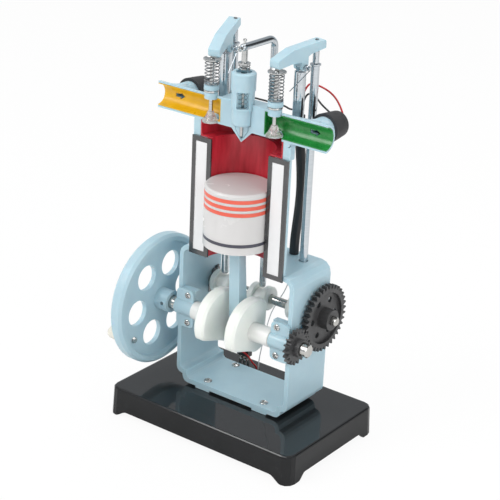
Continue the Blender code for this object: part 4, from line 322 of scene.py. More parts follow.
def plasticFinish(name, row):
    # colour swings between base and deep with the mould's clouds, dust lifts it, smudges swing the
    # roughness, and the skin of the mould with its flow lines gives the relief
    s = {**plasticUsual, **row}
    material, tree, shader = startMaterial(name, s["base"])
    grain = placeGroup(tree, mouldedGrain, {"Cloud size": s["cloud"], "Grain size": s["grain"]})
    touch = placeGroup(tree, handling, {"Smudge size": s["smudge"], "Speck size": s["speck"]})
    clouds = spread(tree, grain.outputs[s["pattern"]], 0, 1)
    body = mixedColor(tree, clouds, s["base"], s["deep"])
    specks = spread(tree, touch.outputs["Dust"], 0, s["dust"], 0, 1)
    dusty = mixedColor(tree, specks, s["base"], s["dustColor"])
    height = newNode(tree, "ShaderNodeMath", {1: s["flow"]}, operation="MULTIPLY_ADD")
    join(tree, (body, mixResult, dusty, mixFirst), (dusty, mixResult, shader, "Base Color"),
         (grain, "Flow", height, 0), (grain, "Grain", height, 2))
    tree.links.new(spread(tree, touch.outputs["Smudge"], *s["rough"]), shader.inputs["Roughness"])
    addBump(tree, shader, height, "Value", s["bump"], s["relief"])
    # the emission set here is a painted glow that stands in for the daylight a thin wall lets
    # through to its dark side
    setSockets(shader, {"Subsurface Weight": s["glow"], "Subsurface Scale": s["glowDepth"],
                        "Subsurface Radius": s["glowColor"], "Specular IOR Level": s["specular"],
                        "Coat Roughness": s["coatRough"], "Emission Color": (*s["paintedGlowTint"], 1.0),
                        "Emission Strength": s["paintedGlowStrength"]})
    if s["upwardCoat"]:
        # the coat grows from none to full as the upward share of a face's normal goes from
        # coatFrom to coatFull, so upright faces have none
        place = newNode(tree, "ShaderNodeTexCoord")
        parts = newNode(tree, "ShaderNodeSeparateXYZ")
        join(tree, (place, "Normal", parts, "Vector"))
        coat = spread(tree, parts.outputs["Z"], 0.0, s["upwardCoat"], s["coatFrom"], s["coatFull"])
        tree.links.new(coat, shader.inputs["Coat Weight"])
    return material


def metalFinish(name, row):
    # tool marks move colour and height together, and patches dull the polish a little
    s = {"bump": 0.15, "relief": 0.00005, **row}
    material, tree, shader = startMaterial(name, s["base"])
    marks = placeGroup(tree, turnedLines, dict(enumerate(s["along"])))
    body = mixedColor(tree, spread(tree, marks.outputs["Lines"], 0, 1), s["base"], s["deep"])
    join(tree, (body, mixResult, shader, "Base Color"))
    tree.links.new(spread(tree, marks.outputs["Patch"], *s["rough"]), shader.inputs["Roughness"])
    addBump(tree, shader, marks, "Lines", s["bump"], s["relief"])
    setSockets(shader, {"Metallic": 1.0})
    return material


def clearFinish(name, row):
    # moulded clear plastic or glass: faint cloud in its tint and a slightly uneven polish
    s = {"cloud": 150.0, "smudge": 120.0, "bump": 0.1, "relief": 0.0001, **row}
    material, tree, shader = startMaterial(name, s["base"])
    grain = placeGroup(tree, mouldedGrain, {"Cloud size": s["cloud"]})
    touch = placeGroup(tree, handling, {"Smudge size": s["smudge"]})
    body = mixedColor(tree, spread(tree, grain.outputs["Mottle"], 0, 1), s["base"], s["deep"])
    join(tree, (body, mixResult, shader, "Base Color"))
    tree.links.new(spread(tree, touch.outputs["Smudge"], *s["rough"]), shader.inputs["Roughness"])
    addBump(tree, shader, grain, "Flow", s["bump"], s["relief"])
    setSockets(shader, {"Transmission Weight": s["through"], "IOR": s["ior"]})
    return material


plastics = {
    "bluePlastic": {"base": (0.43, 0.595, 0.665), "deep": (0.395, 0.56, 0.64),
                    "rough": (0.28, 0.40), "glow": 0.3, "glowDepth": 0.004,
                    "glowColor": (0.5, 0.9, 1.0), "bump": 0.06, "dust": 0.10},
    "blackTray": {"base": (0.010, 0.0105, 0.011), "deep": (0.015, 0.0155, 0.0165),
                  "rough": (0.08, 0.16), "dust": 0.35, "dustColor": (0.35, 0.36, 0.37),
                  "cloud": 25.0, "bump": 0.04, "specular": 0.22, "upwardCoat": 0.55},
    "milkyPlastic": {"base": (0.86, 0.88, 0.84), "deep": (0.80, 0.825, 0.785),
                     "rough": (0.30, 0.42), "glow": 0.5, "glowDepth": 0.006,
                     "glowColor": (0.9, 1.0, 0.9), "bump": 0.06},
    "pistonWhite": {"base": (0.65, 0.64, 0.635), "deep": (0.64, 0.63, 0.623), "rough": (0.24, 0.28),
                    "glow": 0.4, "glowDepth": 0.004, "bump": 0.02, "flow": 0.0, "cloud": 30.0,
                    "dust": 0.04},
    # this pale bore finish glows a little: a painted glow that stands in for light through the
    # injector's translucent plastic
    "paintedGlowBore": {"base": (0.80, 0.90, 0.94), "deep": (0.76, 0.86, 0.90), "rough": (0.35, 0.5),
                 "glow": 0.3, "paintedGlowStrength": 0.20, "paintedGlowTint": (0.42, 0.68, 0.80)},
    "orangeBand": {"base": (0.82, 0.135, 0.085), "deep": (0.75, 0.11, 0.07), "rough": (0.35, 0.5),
                   "glow": 0.1},
    "greyBand": {"base": (0.075, 0.075, 0.10), "deep": (0.055, 0.055, 0.075), "rough": (0.35, 0.5)},
    "redLining": {"base": (0.60, 0.030, 0.050), "deep": (0.42, 0.012, 0.024), "rough": (0.24, 0.40),
                  "bump": 0.16, "pattern": "Flow", "cloud": 220.0},
    "yellowLining": {"base": (0.78, 0.46, 0.008), "deep": (0.70, 0.39, 0.003),
                     "rough": (0.25, 0.38), "cloud": 120.0},
    "greenLining": {"base": (0.020, 0.25, 0.048), "deep": (0.012, 0.20, 0.034),
                    "rough": (0.22, 0.34), "cloud": 120.0},
    "blackGear": {"base": (0.040, 0.040, 0.041), "deep": (0.056, 0.056, 0.058),
                  "rough": (0.34, 0.50), "cloud": 180.0, "bump": 0.2, "dust": 0.35,
                  "dustColor": (0.3, 0.3, 0.3)},
    "rubberCap": {"base": (0.030, 0.030, 0.032), "deep": (0.045, 0.045, 0.047),
                  "rough": (0.55, 0.72), "bump": 0.35, "grain": 1600.0, "cloud": 140.0,
                  "specular": 0.35, "dust": 0.4, "dustColor": (0.2, 0.2, 0.2)},
    "blackTubing": {"base": (0.014, 0.014, 0.015), "deep": (0.022, 0.022, 0.024),
                    "rough": (0.40, 0.55), "bump": 0.2},
    "creamKnob": {"base": (0.78, 0.76, 0.68), "deep": (0.73, 0.70, 0.61), "rough": (0.35, 0.5),
                  "glow": 0.3},
    "redLead": {"base": (0.52, 0.010, 0.012), "deep": (0.44, 0.008, 0.010), "rough": (0.30, 0.42),
                "cloud": 200.0},
    "blackLead": {"base": (0.014, 0.014, 0.015), "deep": (0.022, 0.022, 0.023),
                  "rough": (0.32, 0.45), "cloud": 200.0},
    "greyLead": {"base": (0.78, 0.78, 0.79), "deep": (0.70, 0.70, 0.71), "rough": (0.30, 0.42),
                 "cloud": 200.0},
}
metals = {
    "chromeUpright": {"base": (0.60, 0.635, 0.66), "deep": (0.51, 0.55, 0.58),
                      "along": (1.0, 1.0, 14.0), "rough": (0.05, 0.12)},
    "turnedAcross": {"base": (0.60, 0.59, 0.56), "deep": (0.47, 0.46, 0.44),
                     "along": (22.0, 1.0, 1.0), "rough": (0.16, 0.28), "bump": 0.3},
    "turnedUpright": {"base": (0.58, 0.585, 0.58), "deep": (0.44, 0.445, 0.44),
                      "along": (1.0, 1.0, 22.0), "rough": (0.12, 0.24), "bump": 0.3},
    "springWire": {"base": (0.36, 0.365, 0.37), "deep": (0.22, 0.225, 0.23),
                   "along": (6.0, 6.0, 6.0), "rough": (0.14, 0.26)},
    "screwSteel": {"base": (0.68, 0.675, 0.66), "deep": (0.52, 0.515, 0.50),
                   "along": (9.0, 9.0, 9.0), "rough": (0.14, 0.26)},
    "darkSteel": {"base": (0.22, 0.225, 0.23), "deep": (0.14, 0.145, 0.15),
                  "along": (9.0, 9.0, 9.0), "rough": (0.22, 0.36)},
}
clears = {
    "clearPlastic": {"base": (0.97, 0.955, 0.945), "deep": (0.93, 0.90, 0.885),
                     "rough": (0.08, 0.20), "through": 0.80, "ior": 1.30},
    "lampGlass": {"base": (0.97, 0.96, 0.93), "deep": (0.90, 0.89, 0.86), "rough": (0.02, 0.06),
                  "through": 0.95, "ior": 1.5},
}
for makeFinish, rows in ((plasticFinish, plastics), (metalFinish, metals), (clearFinish, clears)):
    for word, row in rows.items():
        made[word] = makeFinish(word, row)

# section panels: glossy white middle in a black border, measured from the cylinder's own middle

panelSettings = {"middle": 0.00475, "centre": 0.04015, "half": 0.01015, "bottom": 0.1583,
                 "top": 0.2663, "border": 0.0043, "white": (0.77, 0.775, 0.78),
                 "black": (0.016, 0.016, 0.017), "cloud": 40.0, "cloudColor": (0.6, 0.62, 0.64),
                 "cloudShare": 0.06, "smudge": 60.0, "rough": (0.05, 0.12), "bump": 0.05,
                 "relief": 0.0001, "coat": 0.8}


def panelFinish(s):
    # white where a point is nearer to its panel's centre line than the half width less the border,
    # and nearer to the middle height than the half height less the border; black elsewhere
    material, tree, shader = startMaterial("borderedPanel", s["white"])
    place = newNode(tree, "ShaderNodeTexCoord")
    parts = newNode(tree, "ShaderNodeSeparateXYZ")
    join(tree, (place, "Object", parts, "Vector"))

    def reckoned(operation, first, second=None):
        # one step of arithmetic on plain numbers or on the outputs of other nodes
        node = newNode(tree, "ShaderNodeMath", operation=operation)
        for k, value in enumerate((first, second)):
            if isinstance(value, float):
                node.inputs[k].default_value = value
            elif value is not None:
                tree.links.new(value, node.inputs[k])
        return node.outputs["Value"]

    middleHeight, halfHeight = (s["bottom"] + s["top"]) / 2, (s["top"] - s["bottom"]) / 2
    fromMiddle = reckoned("ABSOLUTE", reckoned("SUBTRACT", parts.outputs["X"], s["middle"]))
    acrossPanel = reckoned("ABSOLUTE", reckoned("SUBTRACT", fromMiddle, s["centre"]))
    upPanel = reckoned("ABSOLUTE", reckoned("SUBTRACT", parts.outputs["Z"], middleHeight))
    inAcross = reckoned("LESS_THAN", acrossPanel, s["half"] - s["border"])
    inUp = reckoned("LESS_THAN", upPanel, halfHeight - s["border"])
    touch = placeGroup(tree, handling, {"Smudge size": s["smudge"]})
    grain = placeGroup(tree, mouldedGrain, {"Cloud size": s["cloud"]})
    color = mixedColor(tree, reckoned("MULTIPLY", inAcross, inUp), s["black"], s["white"])
    clouds = spread(tree, grain.outputs["Mottle"], 0.0, s["cloudShare"])
    cloudy = mixedColor(tree, clouds, s["white"], s["cloudColor"])
    join(tree, (color, mixResult, cloudy, mixFirst), (cloudy, mixResult, shader, "Base Color"))
    tree.links.new(spread(tree, touch.outputs["Smudge"], *s["rough"]), shader.inputs["Roughness"])
    addBump(tree, shader, grain, "Flow", s["bump"], s["relief"])
    setSockets(shader, {"Coat Weight": s["coat"]})
    return material


# the switch: black plastic above the level and tinned pins below it

housingSettings = {"level": 0.0371, "plastic": (0.016, 0.016, 0.017), "pins": (0.62, 0.60, 0.55),
                   "cloud": 150.0, "rough": (0.24, 0.38)}


def housingFinish(s):
    # the mask is 1 where a point's height is less than the level
    material, tree, shader = startMaterial("switchHousing", s["plastic"])
    place = newNode(tree, "ShaderNodeTexCoord")
    parts = newNode(tree, "ShaderNodeSeparateXYZ")
    below = newNode(tree, "ShaderNodeMath", {1: s["level"]}, operation="LESS_THAN")
    grain = placeGroup(tree, mouldedGrain, {"Cloud size": s["cloud"]})
    color = mixedColor(tree, below.outputs["Value"], s["plastic"], s["pins"])
    join(tree, (place, "Object", parts, "Vector"), (parts, "Z", below, 0),
         (color, mixResult, shader, "Base Color"), (below, "Value", shader, "Metallic"))
    tree.links.new(spread(tree, grain.outputs["Mottle"], *s["rough"]), shader.inputs["Roughness"])
    return material


made["borderedPanel"] = panelFinish(panelSettings)
made["switchHousing"] = housingFinish(housingSettings)
print("finishes made:", len(made))

# which solids wear which finish

wearing = {
    "blackTray": ("base",),
    "bluePlastic": ("crank_frame", "bearing_cap_left", "bearing_cap_right", "cylinder",
                    "cylinder_head", "intake_valve_guide", "exhaust_valve_guide", "injector_body",
                    "injector_nozzle", "flywheel", "connecting_rod", "intake_rocker",
                    "exhaust_rocker"),
    "redLining": ("cylinder_liner",),
    "yellowLining": ("intake_port_lining",),
    "greenLining": ("exhaust_port_lining",),
    "borderedPanel": ("section_panel_left", "section_panel_right"),
    "chromeUpright": ("intake_rocker_post", "exhaust_rocker_post", "injector_rod", "intake_pushrod",
                      "exhaust_pushrod"),
    "rubberCap": ("intake_lamp_cap", "exhaust_lamp_cap"),
    "lampGlass": ("intake_lamp_bulb", "exhaust_lamp_bulb"),
    "blackTubing": ("wire_sleeve",),
    "switchHousing": ("micro_switch",),
    "darkSteel": ("contact_blade",),
    "milkyPlastic": ("crank_web_left", "crank_web_right", "intake_cam", "injector_cam",
                     "exhaust_cam"),
    "turnedAcross": ("crankshaft_left", "crankshaft_right", "handle_screw", "camshaft"),
    "blackGear": ("crank_gear", "cam_gear"),
    "creamKnob": ("handle_knob",),
    "pistonWhite": ("piston",),
    "orangeBand": ("top_ring", "middle_ring", "lower_ring"),
    "greyBand": ("oil_ring",),
    "turnedUpright": ("intake_valve_stem", "exhaust_valve_stem"),
    "clearPlastic": ("intake_valve_head", "exhaust_valve_head"),
}


# facets rounded off: point is the tip of the head under the injector, which stays sharp

roundingSettings = {"bend": 0.56, "level": 2, "point": (0.00475, -0.0107, 0.2713), "near": 0.0012,
                    "sameVertex": 0.000001,
                    "leftPlain": ("base", "crank_frame", "crank_gear", "cam_gear",
                                  "section_panel_left", "section_panel_right", "injector_nozzle")}


def roundedSides(s):
    # the mesh is merged and subdivided; edges that bend by more than the bend, in radians, stay
    # creased, and so do vertices near the point
    tree = bpy.data.node_groups.new("roundedSides", "GeometryNodeTree")
    for way in ("INPUT", "OUTPUT"):
        tree.interface.new_socket(name="Geometry", in_out=way, socket_type="NodeSocketGeometry")
    given, result = tree.nodes.new("NodeGroupInput"), tree.nodes.new("NodeGroupOutput")
    merge = newNode(tree, "GeometryNodeMergeByDistance", {"Distance": s["sameVertex"]})
    divide = newNode(tree, "GeometryNodeSubdivisionSurface", {"Level": s["level"]})
    soften = newNode(tree, "GeometryNodeSetShadeSmooth")
    harden = newNode(tree, "GeometryNodeSetShadeSmooth", {"Shade Smooth": False}, domain="EDGE")
    angle = newNode(tree, "GeometryNodeInputMeshEdgeAngle")
    sharp = newNode(tree, "FunctionNodeCompare", {1: s["bend"]}, data_type="FLOAT",
                    operation="GREATER_THAN")
    place = newNode(tree, "GeometryNodeInputPosition")
    away = newNode(tree, "ShaderNodeVectorMath", {1: s["point"]}, operation="DISTANCE")
    kept = newNode(tree, "FunctionNodeCompare", {1: s["near"]}, data_type="FLOAT",
                   operation="LESS_THAN")
    join(tree, (angle, "Unsigned Angle", sharp, 0), (place, "Position", away, 0),
         (away, "Value", kept, 0), (given, 0, merge, "Geometry"),
         (merge, "Geometry", divide, "Mesh"),
         (sharp, "Result", divide, "Edge Crease"), (kept, "Result", divide, "Vertex Crease"),
         (divide, "Mesh", soften, "Geometry"), (soften, "Geometry", harden, "Geometry"),
         (sharp, "Result", harden, "Selection"), (harden, "Geometry", result, 0))
    return tree


rounding = roundedSides(roundingSettings)
for word, names in wearing.items():
    for name in names:
        wear(nodes[name], word)
        if name not in roundingSettings["leftPlain"]:
            nodes[name].modifiers.new("roundedSides", "NODES").node_group = rounding
print("solids dressed:", sum(len(names) for names in wearing.values()))

# springs: round wire wound on a helix, with flat end curls

springSettings = {
    "exhaust": {"node": "exhaust_valve_spring", "wire": 0.00045, "curls": 8.5,
                "finish": "springWire", "bodies": ("engine", "exhaust_valve")},
    "intake": {"node": "intake_valve_spring", "wire": 0.00045, "curls": 7.5,
               "finish": "springWire", "bodies": ("engine", "intake_valve")},
    "injector": {"node": "injector_spring", "wire": 0.00030, "curls": 9.5,
                 "finish": "screwSteel", "bodies": ("injector", "engine")},
}
stepsPerCurl = 36


def makeSpring(word, s):
    # the coil fills the box of the solid that it stands for
    low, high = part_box(s["node"])
    x, y = (low.x + high.x) / 2, (low.y + high.y) / 2
    radius = (high.x - low.x) / 2 - s["wire"]
    count = int(s["curls"] * stepsPerCurl)
    piece = coiledWire(word + "Spring", x, y, low.z, high.z, radius, s["curls"], s["wire"], count)
    wear(piece, s["finish"])
    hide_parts(s["node"])
    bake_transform(piece)


for word, s in springSettings.items():
    makeSpring(word, s)
print("springs wound:", len(springSettings))

# leads: insulated wires along the routes that the solids hold, in millimetres

leadSettings = {
    "exhaustLampRedLead": {
        "node": "exhaust_lamp_wire_red", "radius": 0.0008, "finish": "redLead", "slot": "wire_red",
        "route": ((31.1, 37.3, 284.3), (31.1, 37.3, 290.8), (28.5, 40.3, 302.55),
                  (31.5, 44.8, 314.21), (40.5, 44.8, 315.8), (54.0, 43.3, 313.15),
                  (64.5, 40.3, 307.85), (73.35, 35.8, 299.0), (73.35, 32.8, 293.0),
                  (73.35, 29.3, 293.0))},
    "exhaustLampBlackLead": {
        "node": "exhaust_lamp_wire_black", "radius": 0.0008, "finish": "blackLead",
        "slot": "wire_black",
        "route": ((28.9, 38.4, 284.3), (28.9, 38.4, 290.8), (30.0, 44.8, 304.6),
                  (37.5, 44.8, 306.3), (48.0, 41.8, 301.2), (58.75, 40.3, 296.0),
                  (71.15, 32.8, 293.0), (71.15, 29.3, 293.0))},
    "intakeLampLead": {
        "node": "intake_lamp_wire", "radius": 0.0008, "finish": "blackLead", "slot": "wire_black",
        "route": ((28.9, 36.2, 284.3), (28.9, 36.2, 291.55), (25.5, 37.3, 292.6),
                  (16.5, 40.3, 290.9), (4.75, 43.3, 291.3), (-31.85, 43.3, 291.3),
                  (-59.45, 40.3, 293.75), (-68.45, 32.8, 293.0), (-68.45, 29.3, 293.0))},
    "switchRedLead": {
        "node": "switch_wire_red", "radius": 0.0008, "finish": "redLead", "slot": "wire_red",
        "route": ((-32.25, 52.0, 42.1), (-27.25, 52.0, 41.6), (-22.25, 52.0, 39.1),
                  (-18.65, 53.0, 34.3), (-16.15, 55.3, 30.3), (-15.65, 56.3, 27.3),
                  (-15.65, 56.3, 24.7))},
    "sleeveGreyLead": {
        "node": "sleeve_wire", "radius": 0.0005, "finish": "greyLead", "slot": "wire_grey",
        "route": ((31.75, 37.3, 163.6), (31.75, 37.3, 151.6), (19.75, 45.3, 123.6),
                  (-2.75, 56.3, 87.3), (-11.75, 56.3, 47.3), (-13.95, 56.3, 27.3),
                  (-13.95, 56.3, 24.7))},
}
leadSpacing, leadRoundness, shortestCord = 0.0012, 4, 0.03


def makeLead(word, s):
    # a round tube along the smoothed route
    line, length = smoothLine(np.array(s["route"]) * millimetre, leadSpacing)
    curve = bpy.data.curves.new(word, "CURVE")
    curve.dimensions = "3D"
    curve.bevel_depth = s["radius"]
    curve.bevel_resolution = leadRoundness
    curve.use_fill_caps = True
    spline = curve.splines.new("POLY")
    spline.points.add(len(line) - 1)
    spline.points.foreach_set("co", np.column_stack([line, np.ones(len(line))]).ravel())
    piece = bpy.data.objects.new(word, curve)
    bpy.context.scene.collection.objects.link(piece)
    curve.materials.append(made[s["finish"]])
    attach(piece, "engine")
    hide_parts(s["node"])
    return round(length, 4)


print("leads laid, metres:", [makeLead(word, s) for word, s in leadSettings.items()])

# screws: pan heads with a cross recess; the head's shape is in shares of its radius and height

screwSettings = {
    "frameScrew": {"radius": 0.0038, "height": 0.0021, "toward": (0, 0, 1),
                   "places": ((-26.75, -2.7, 33.8), (-26.75, 38.5, 33.8), (36.25, -2.7, 33.8),
                              (36.25, 38.5, 33.8))},
    "capScrew": {"radius": 0.0031, "height": 0.0018, "toward": (0, -1, 0),
                 "places": ((-44.0, -13.8, 90.5), (-44.0, -13.8, 116.9), (53.5, -13.8, 90.5),
                            (53.5, -13.8, 116.9))},
}
headShape = {"topRings": 22, "topReach": 0.94, "fall": 0.62, "roundness": 2.6,
             "rimShares": (0.98, 1.0, 1.0, 0.0), "rimRises": (0.30, 0.16, -0.35, -0.35),
             "armWidth": 0.16, "armLength": 0.62, "sideSteepness": 60, "endSteepness": 40,
             "depth": 0.95, "sides": 64, "sharpDegrees": 50}


def screwHead(name, place, turn, s, shape):
    # the top falls from 1 at the middle by the fall times the share of the radius to the power of
    # the roundness, less a cross with soft sides; the rim's rings close the head below
    across, other, along = facing(s["toward"])
    share = np.linspace(0, shape["topReach"], shape["topRings"])
    rise = 1 - shape["fall"] * share ** shape["roundness"]
    rise = np.concatenate([rise, shape["rimRises"]])[:, None]
    share = np.concatenate([share, shape["rimShares"]])[:, None]
    around = np.linspace(0, 2 * math.pi, shape["sides"], endpoint=False)[None, :]
    a, b = np.abs(share * np.cos(around)), np.abs(share * np.sin(around))
    recess = 1 / (1 + np.exp((np.minimum(a, b) - shape["armWidth"]) * shape["sideSteepness"]))
    recess = recess / (1 + np.exp((np.maximum(a, b) - shape["armLength"]) * shape["endSteepness"]))
    top = np.arange(len(share))[:, None] < shape["topRings"]
    lift = (rise - np.where(top, shape["depth"] * recess, 0)) * s["height"]
    around = around + turn
    flat = np.cos(around)[..., None] * across + np.sin(around)[..., None] * other
    flat = share[..., None] * flat
    points = np.array(place) * millimetre + s["radius"] * flat + lift[..., None] * along
    piece = sharpEdges(wear(gridPiece(name, points), "screwSteel"), shape["sharpDegrees"])
    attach(piece, "engine")


turnSeed = 4  # decides how each recess is turned
screwCount = sum(len(s["places"]) for s in screwSettings.values())
turns = iter(np.random.default_rng(turnSeed).uniform(0, math.pi, screwCount))
for word, s in screwSettings.items():
    for k, place in enumerate(s["places"]):
        screwHead(f"{word}{k + 1}", place, next(turns), s, headShape)
print("screws set:", screwCount)

# the injector's moving pieces, in millimetres: stem and needle are (radius, height) about the front
# axis, the pin stands on the tube's end and the bead hangs before it

injectorSettings = {
    "x": 4.75, "front": -10.7, "back": 30.5, "foot": 127.3, "top": 352.3, "bend": 8.0, "tube": 3.1,
    "tubeSides": 32, "upSteps": 30, "bendSteps": 14, "runSteps": 16, "frontEnd": -13.6,
    "body": "injector",
    "stem": ((0, 331.0), (2.5, 331.0), (2.5, 334.6), (2.0, 334.9), (2.0, 336.2), (2.5, 336.5),
             (2.5, 337.8), (4.0, 337.8), (5.2, 338.2), (5.2, 339.3), (4.0, 339.8), (2.5, 339.8),
             (2.5, 352.3), (0, 352.3)),
    "needle": ((0, 274.0), (1.4, 276.8), (1.4, 294.9), (4.6, 294.9), (4.6, 296.5), (1.4, 296.5),
               (1.4, 327.2), (2.5, 327.4), (2.5, 331.2), (0, 331.2)),
    "pin": ((0, 0), (1.1, 0), (1.1, 5.2), (1.7, 5.4), (1.7, 6.4), (1.2, 6.9), (0, 6.9)),
    "pinForward": 0.6, "pinSides": 24, "bead": 2.5, "beadForward": 3.6, "beadDown": 0.6,
    "beadRings": 14, "coilLow": 333.2, "coilHigh": 337.8, "coilRadius": 4.6, "coilCurls": 2.6,
    "coilWire": 0.4, "coilSteps": 90,
}


def bentTube(s):
    # up the back, a quarter circle of the bend's radius forward, then along to the front end
    turn = np.linspace(0, math.pi / 2, s["bendSteps"])
    up = np.linspace(s["foot"], s["top"] - s["bend"], s["upSteps"])[:-1]
    run = np.linspace(s["back"] - s["bend"], s["frontEnd"], s["runSteps"])[1:]
    bendBack = s["back"] - s["bend"] * (1 - np.cos(turn))
    bendUp = s["top"] - s["bend"] * (1 - np.sin(turn))
    y = np.concatenate([np.full_like(up, s["back"]), bendBack, run])
    z = np.concatenate([up, bendUp, np.full_like(run, s["top"])])
    line = np.stack([np.full_like(y, s["x"]), y, z], 1) * millimetre
    outward = np.tile((1.0, 0.0, 0.0), (len(line), 1))
    points = tubePoints(line, outward, s["tube"] * millimetre, s["tubeSides"])
    piece = wear(gridPiece("injectorBentTube", points), "chromeUpright")
    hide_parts("injector_rod")
    return piece


def neckCoil(s):
    # a short coil round the stem, on the body
    x, y = s["x"] * millimetre, s["front"] * millimetre
    words = ("coilLow", "coilHigh", "coilRadius", "coilWire")
    low, high, radius, wire = (s[word] * millimetre for word in words)
    piece = coiledWire("injectorNeckCoil", x, y, low, high, radius, s["coilCurls"], wire,
                       s["coilSteps"])
    return wear(piece, "springWire")


def injectorPieces(s):
    # turned profiles on the front axis; the bead's profile is a half circle
    x, y, top, up = s["x"], s["front"], s["top"], (0, 0, 1)
    half = np.linspace(0, math.pi, s["beadRings"])
    bead = np.stack([s["bead"] * np.sin(half), -s["bead"] * np.cos(half)], 1)
    beadPlace = (x, s["frontEnd"] - s["beadForward"], top - s["beadDown"])
    pinPlace = (x, y - s["pinForward"], top)
    pieces = [
        bentTube(s),
        turnedPiece("injectorStem", s["stem"], (x, y, 0), up, "turnedUpright"),
        turnedPiece("injectorNeedle", s["needle"], (x, y, 0), up, "turnedUpright"),
        turnedPiece("injectorBead", bead, beadPlace, up, "lampGlass"),
        turnedPiece("injectorPin", s["pin"], pinPlace, up, "screwSteel", s["pinSides"]),
        neckCoil(s),
    ]
    for piece in pieces:
        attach(piece, s["body"])
    return pieces


print("injector pieces:", len(injectorPieces(injectorSettings)))

# a pale half shell in the bore behind the injector's window, with a painted glow that stands in for
# light through the plastic; sizes in millimetres and degrees

boreSettings = {"x": 4.75, "y": -10.7, "inner": 5.3, "outer": 5.75, "low": 297.0, "high": 326.5,
                "middle": 126.0, "sweep": 210.0, "steps": 40, "finish": "paintedGlowBore",
                "body": "engine"}


def glowingBoreShell(s):
    # a rectangle in (radius, height) carried round an arc, its end rings drawn to their middles
    start = s["middle"] - s["sweep"] / 2
    turn = np.radians(np.linspace(start, start + s["sweep"], s["steps"]))
    turn = np.concatenate([turn[:1], turn, turn[-1:]])
    radius = np.array([s["inner"], s["outer"], s["outer"], s["inner"]])
    height = np.array([s["low"], s["low"], s["high"], s["high"]])
    radius, height = np.tile(radius, (len(turn), 1)), np.tile(height, (len(turn), 1))
    for end in (0, -1):
        radius[end], height[end] = radius[end].mean(), height[end].mean()
    x = s["x"] + radius * np.cos(turn)[:, None]
    y = s["y"] + radius * np.sin(turn)[:, None]
    points = np.stack([x, y, height], -1) * millimetre
    piece = sharpEdges(wear(gridPiece("glowingBoreShell", points), s["finish"]))
    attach(piece, s["body"])


glowingBoreShell(boreSettings)
print("bore shell in place")

# clip rings in the guides' grooves, pins in the rockers' tails and the fittings on the left wall
# and the switch: profiles are (radius, rise) in millimetres

fittingProfiles = {
    "clip": ((5.2, -0.7), (6.2, -0.7), (6.35, 0.0), (6.2, 0.7), (5.2, 0.7), (5.2, -0.7)),
    "screw": ((0, -0.4), (3.4, -0.4), (3.4, 1.0), (3.0, 1.9), (1.6, 2.1), (1.3, 1.2), (0, 1.2)),
    "solder": ((0, -0.6), (1.9, -0.6), (1.9, 0.8), (1.3, 1.9), (0, 2.2)),
    "tailPin": ((0, -0.5), (1.5, -0.5), (1.5, 0.15), (1.1, 0.45), (0, 0.5)),
    "washer": ((0, -0.4), (4.6, -0.4), (4.6, 0.8), (0, 0.8)),
    "nut": ((0, 0.8), (3.9, 0.8), (4.1, 1.4), (4.1, 6.2), (3.7, 6.9), (2.0, 6.9), (1.8, 8.2),
            (0, 8.2)),
}
fittingSettings = {
    "intakeClip": {"profile": "clip", "place": (-28.25, -10.7, 308.5), "toward": (0, 0, 1),
                   "finish": "screwSteel", "body": "engine"},
    "exhaustClip": {"profile": "clip", "place": (37.75, -10.7, 308.5), "toward": (0, 0, 1),
                    "finish": "screwSteel", "body": "engine"},
    "wallScrew": {"profile": "screw", "place": (-52.85, 33.9, 122.7), "toward": (1, 0, 0),
                  "finish": "darkSteel", "body": "engine"},
    "leftSolder": {"profile": "solder", "place": (-31.0, 53.3, 34.5), "toward": (0, -1, 0),
                   "finish": "screwSteel", "body": "engine"},
    "rightSolder": {"profile": "solder", "place": (-26.2, 53.3, 34.5), "toward": (0, -1, 0),
                    "finish": "screwSteel", "body": "engine"},
    "intakeTailPin": {"profile": "tailPin", "place": (-37.25, 30.5, 361.3), "toward": (0, 0, 1),
                      "finish": "darkSteel", "body": "intake_arm"},
    "exhaustTailPin": {"profile": "tailPin", "place": (46.75, 30.5, 359.3), "toward": (0, 0, 1),
                       "finish": "darkSteel", "body": "exhaust_arm"},
    "wallWasher": {"profile": "washer", "place": (-52.85, 31.5, 113.6), "toward": (1, 0, 0),
                   "finish": "screwSteel", "body": "engine"},
    "wallNut": {"profile": "nut", "place": (-52.85, 31.5, 113.6), "toward": (1, 0, 0),
                "finish": "screwSteel", "body": "engine", "sides": 6},
}
for word, s in fittingSettings.items():
    piece = turnedPiece(word, fittingProfiles[s["profile"]], s["place"], s["toward"], s["finish"],
                        s.get("sides", meshSettings["roundSides"]))
    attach(piece, s["body"])
print("fittings placed:", len(fittingSettings))

# stage, light and camera: heights and sides are (position, tone) stops of the room that gloss shows

stageSettings = {
    "floorSize": 6.0, "floorRows": 3, "floorDrop": 0.0002, "floorTone": 0.86, "floorRough": 0.9,
    "floorWhite": 0.93, "skyLight": 0.60, "horizonGlow": 1.0, "tint": (0.97, 1.0, 1.03),
    "heights": ((0.0, 0.75), (0.42, 0.85), (0.52, 0.9), (0.64, 0.62), (0.78, 0.50), (1.0, 0.62)),
    "sides": ((0.0, 0.95), (0.16, 0.95), (0.20, 0.30), (0.23, 0.30), (0.27, 1.0), (0.44, 1.0),
              (0.48, 0.08), (0.56, 0.06), (0.59, 0.85), (0.61, 0.12), (0.68, 0.10), (0.71, 0.95),
              (1.0, 0.95)),
}
lampSettings = {
    "keyLamp": {"place": (-0.9, -1.5, 1.7), "size": 1.1, "power": 26.0},
    "sideLamp": {"place": (1.9, -0.6, 0.9), "size": 1.2, "power": 13.0},
    "topLamp": {"place": (0.1, 0.5, 1.9), "size": 1.2, "power": 12.0},
}
lampTarget = Vector((0, 0, 0.18))
cameraSettings = {"place": (0.73847, -1.00003, 0.6884), "azimuth": 36.02, "elevation": 22.66,
                  "roll": 2.695, "lens": 112.41, "sensor": 36.0, "nearest": 0.01}


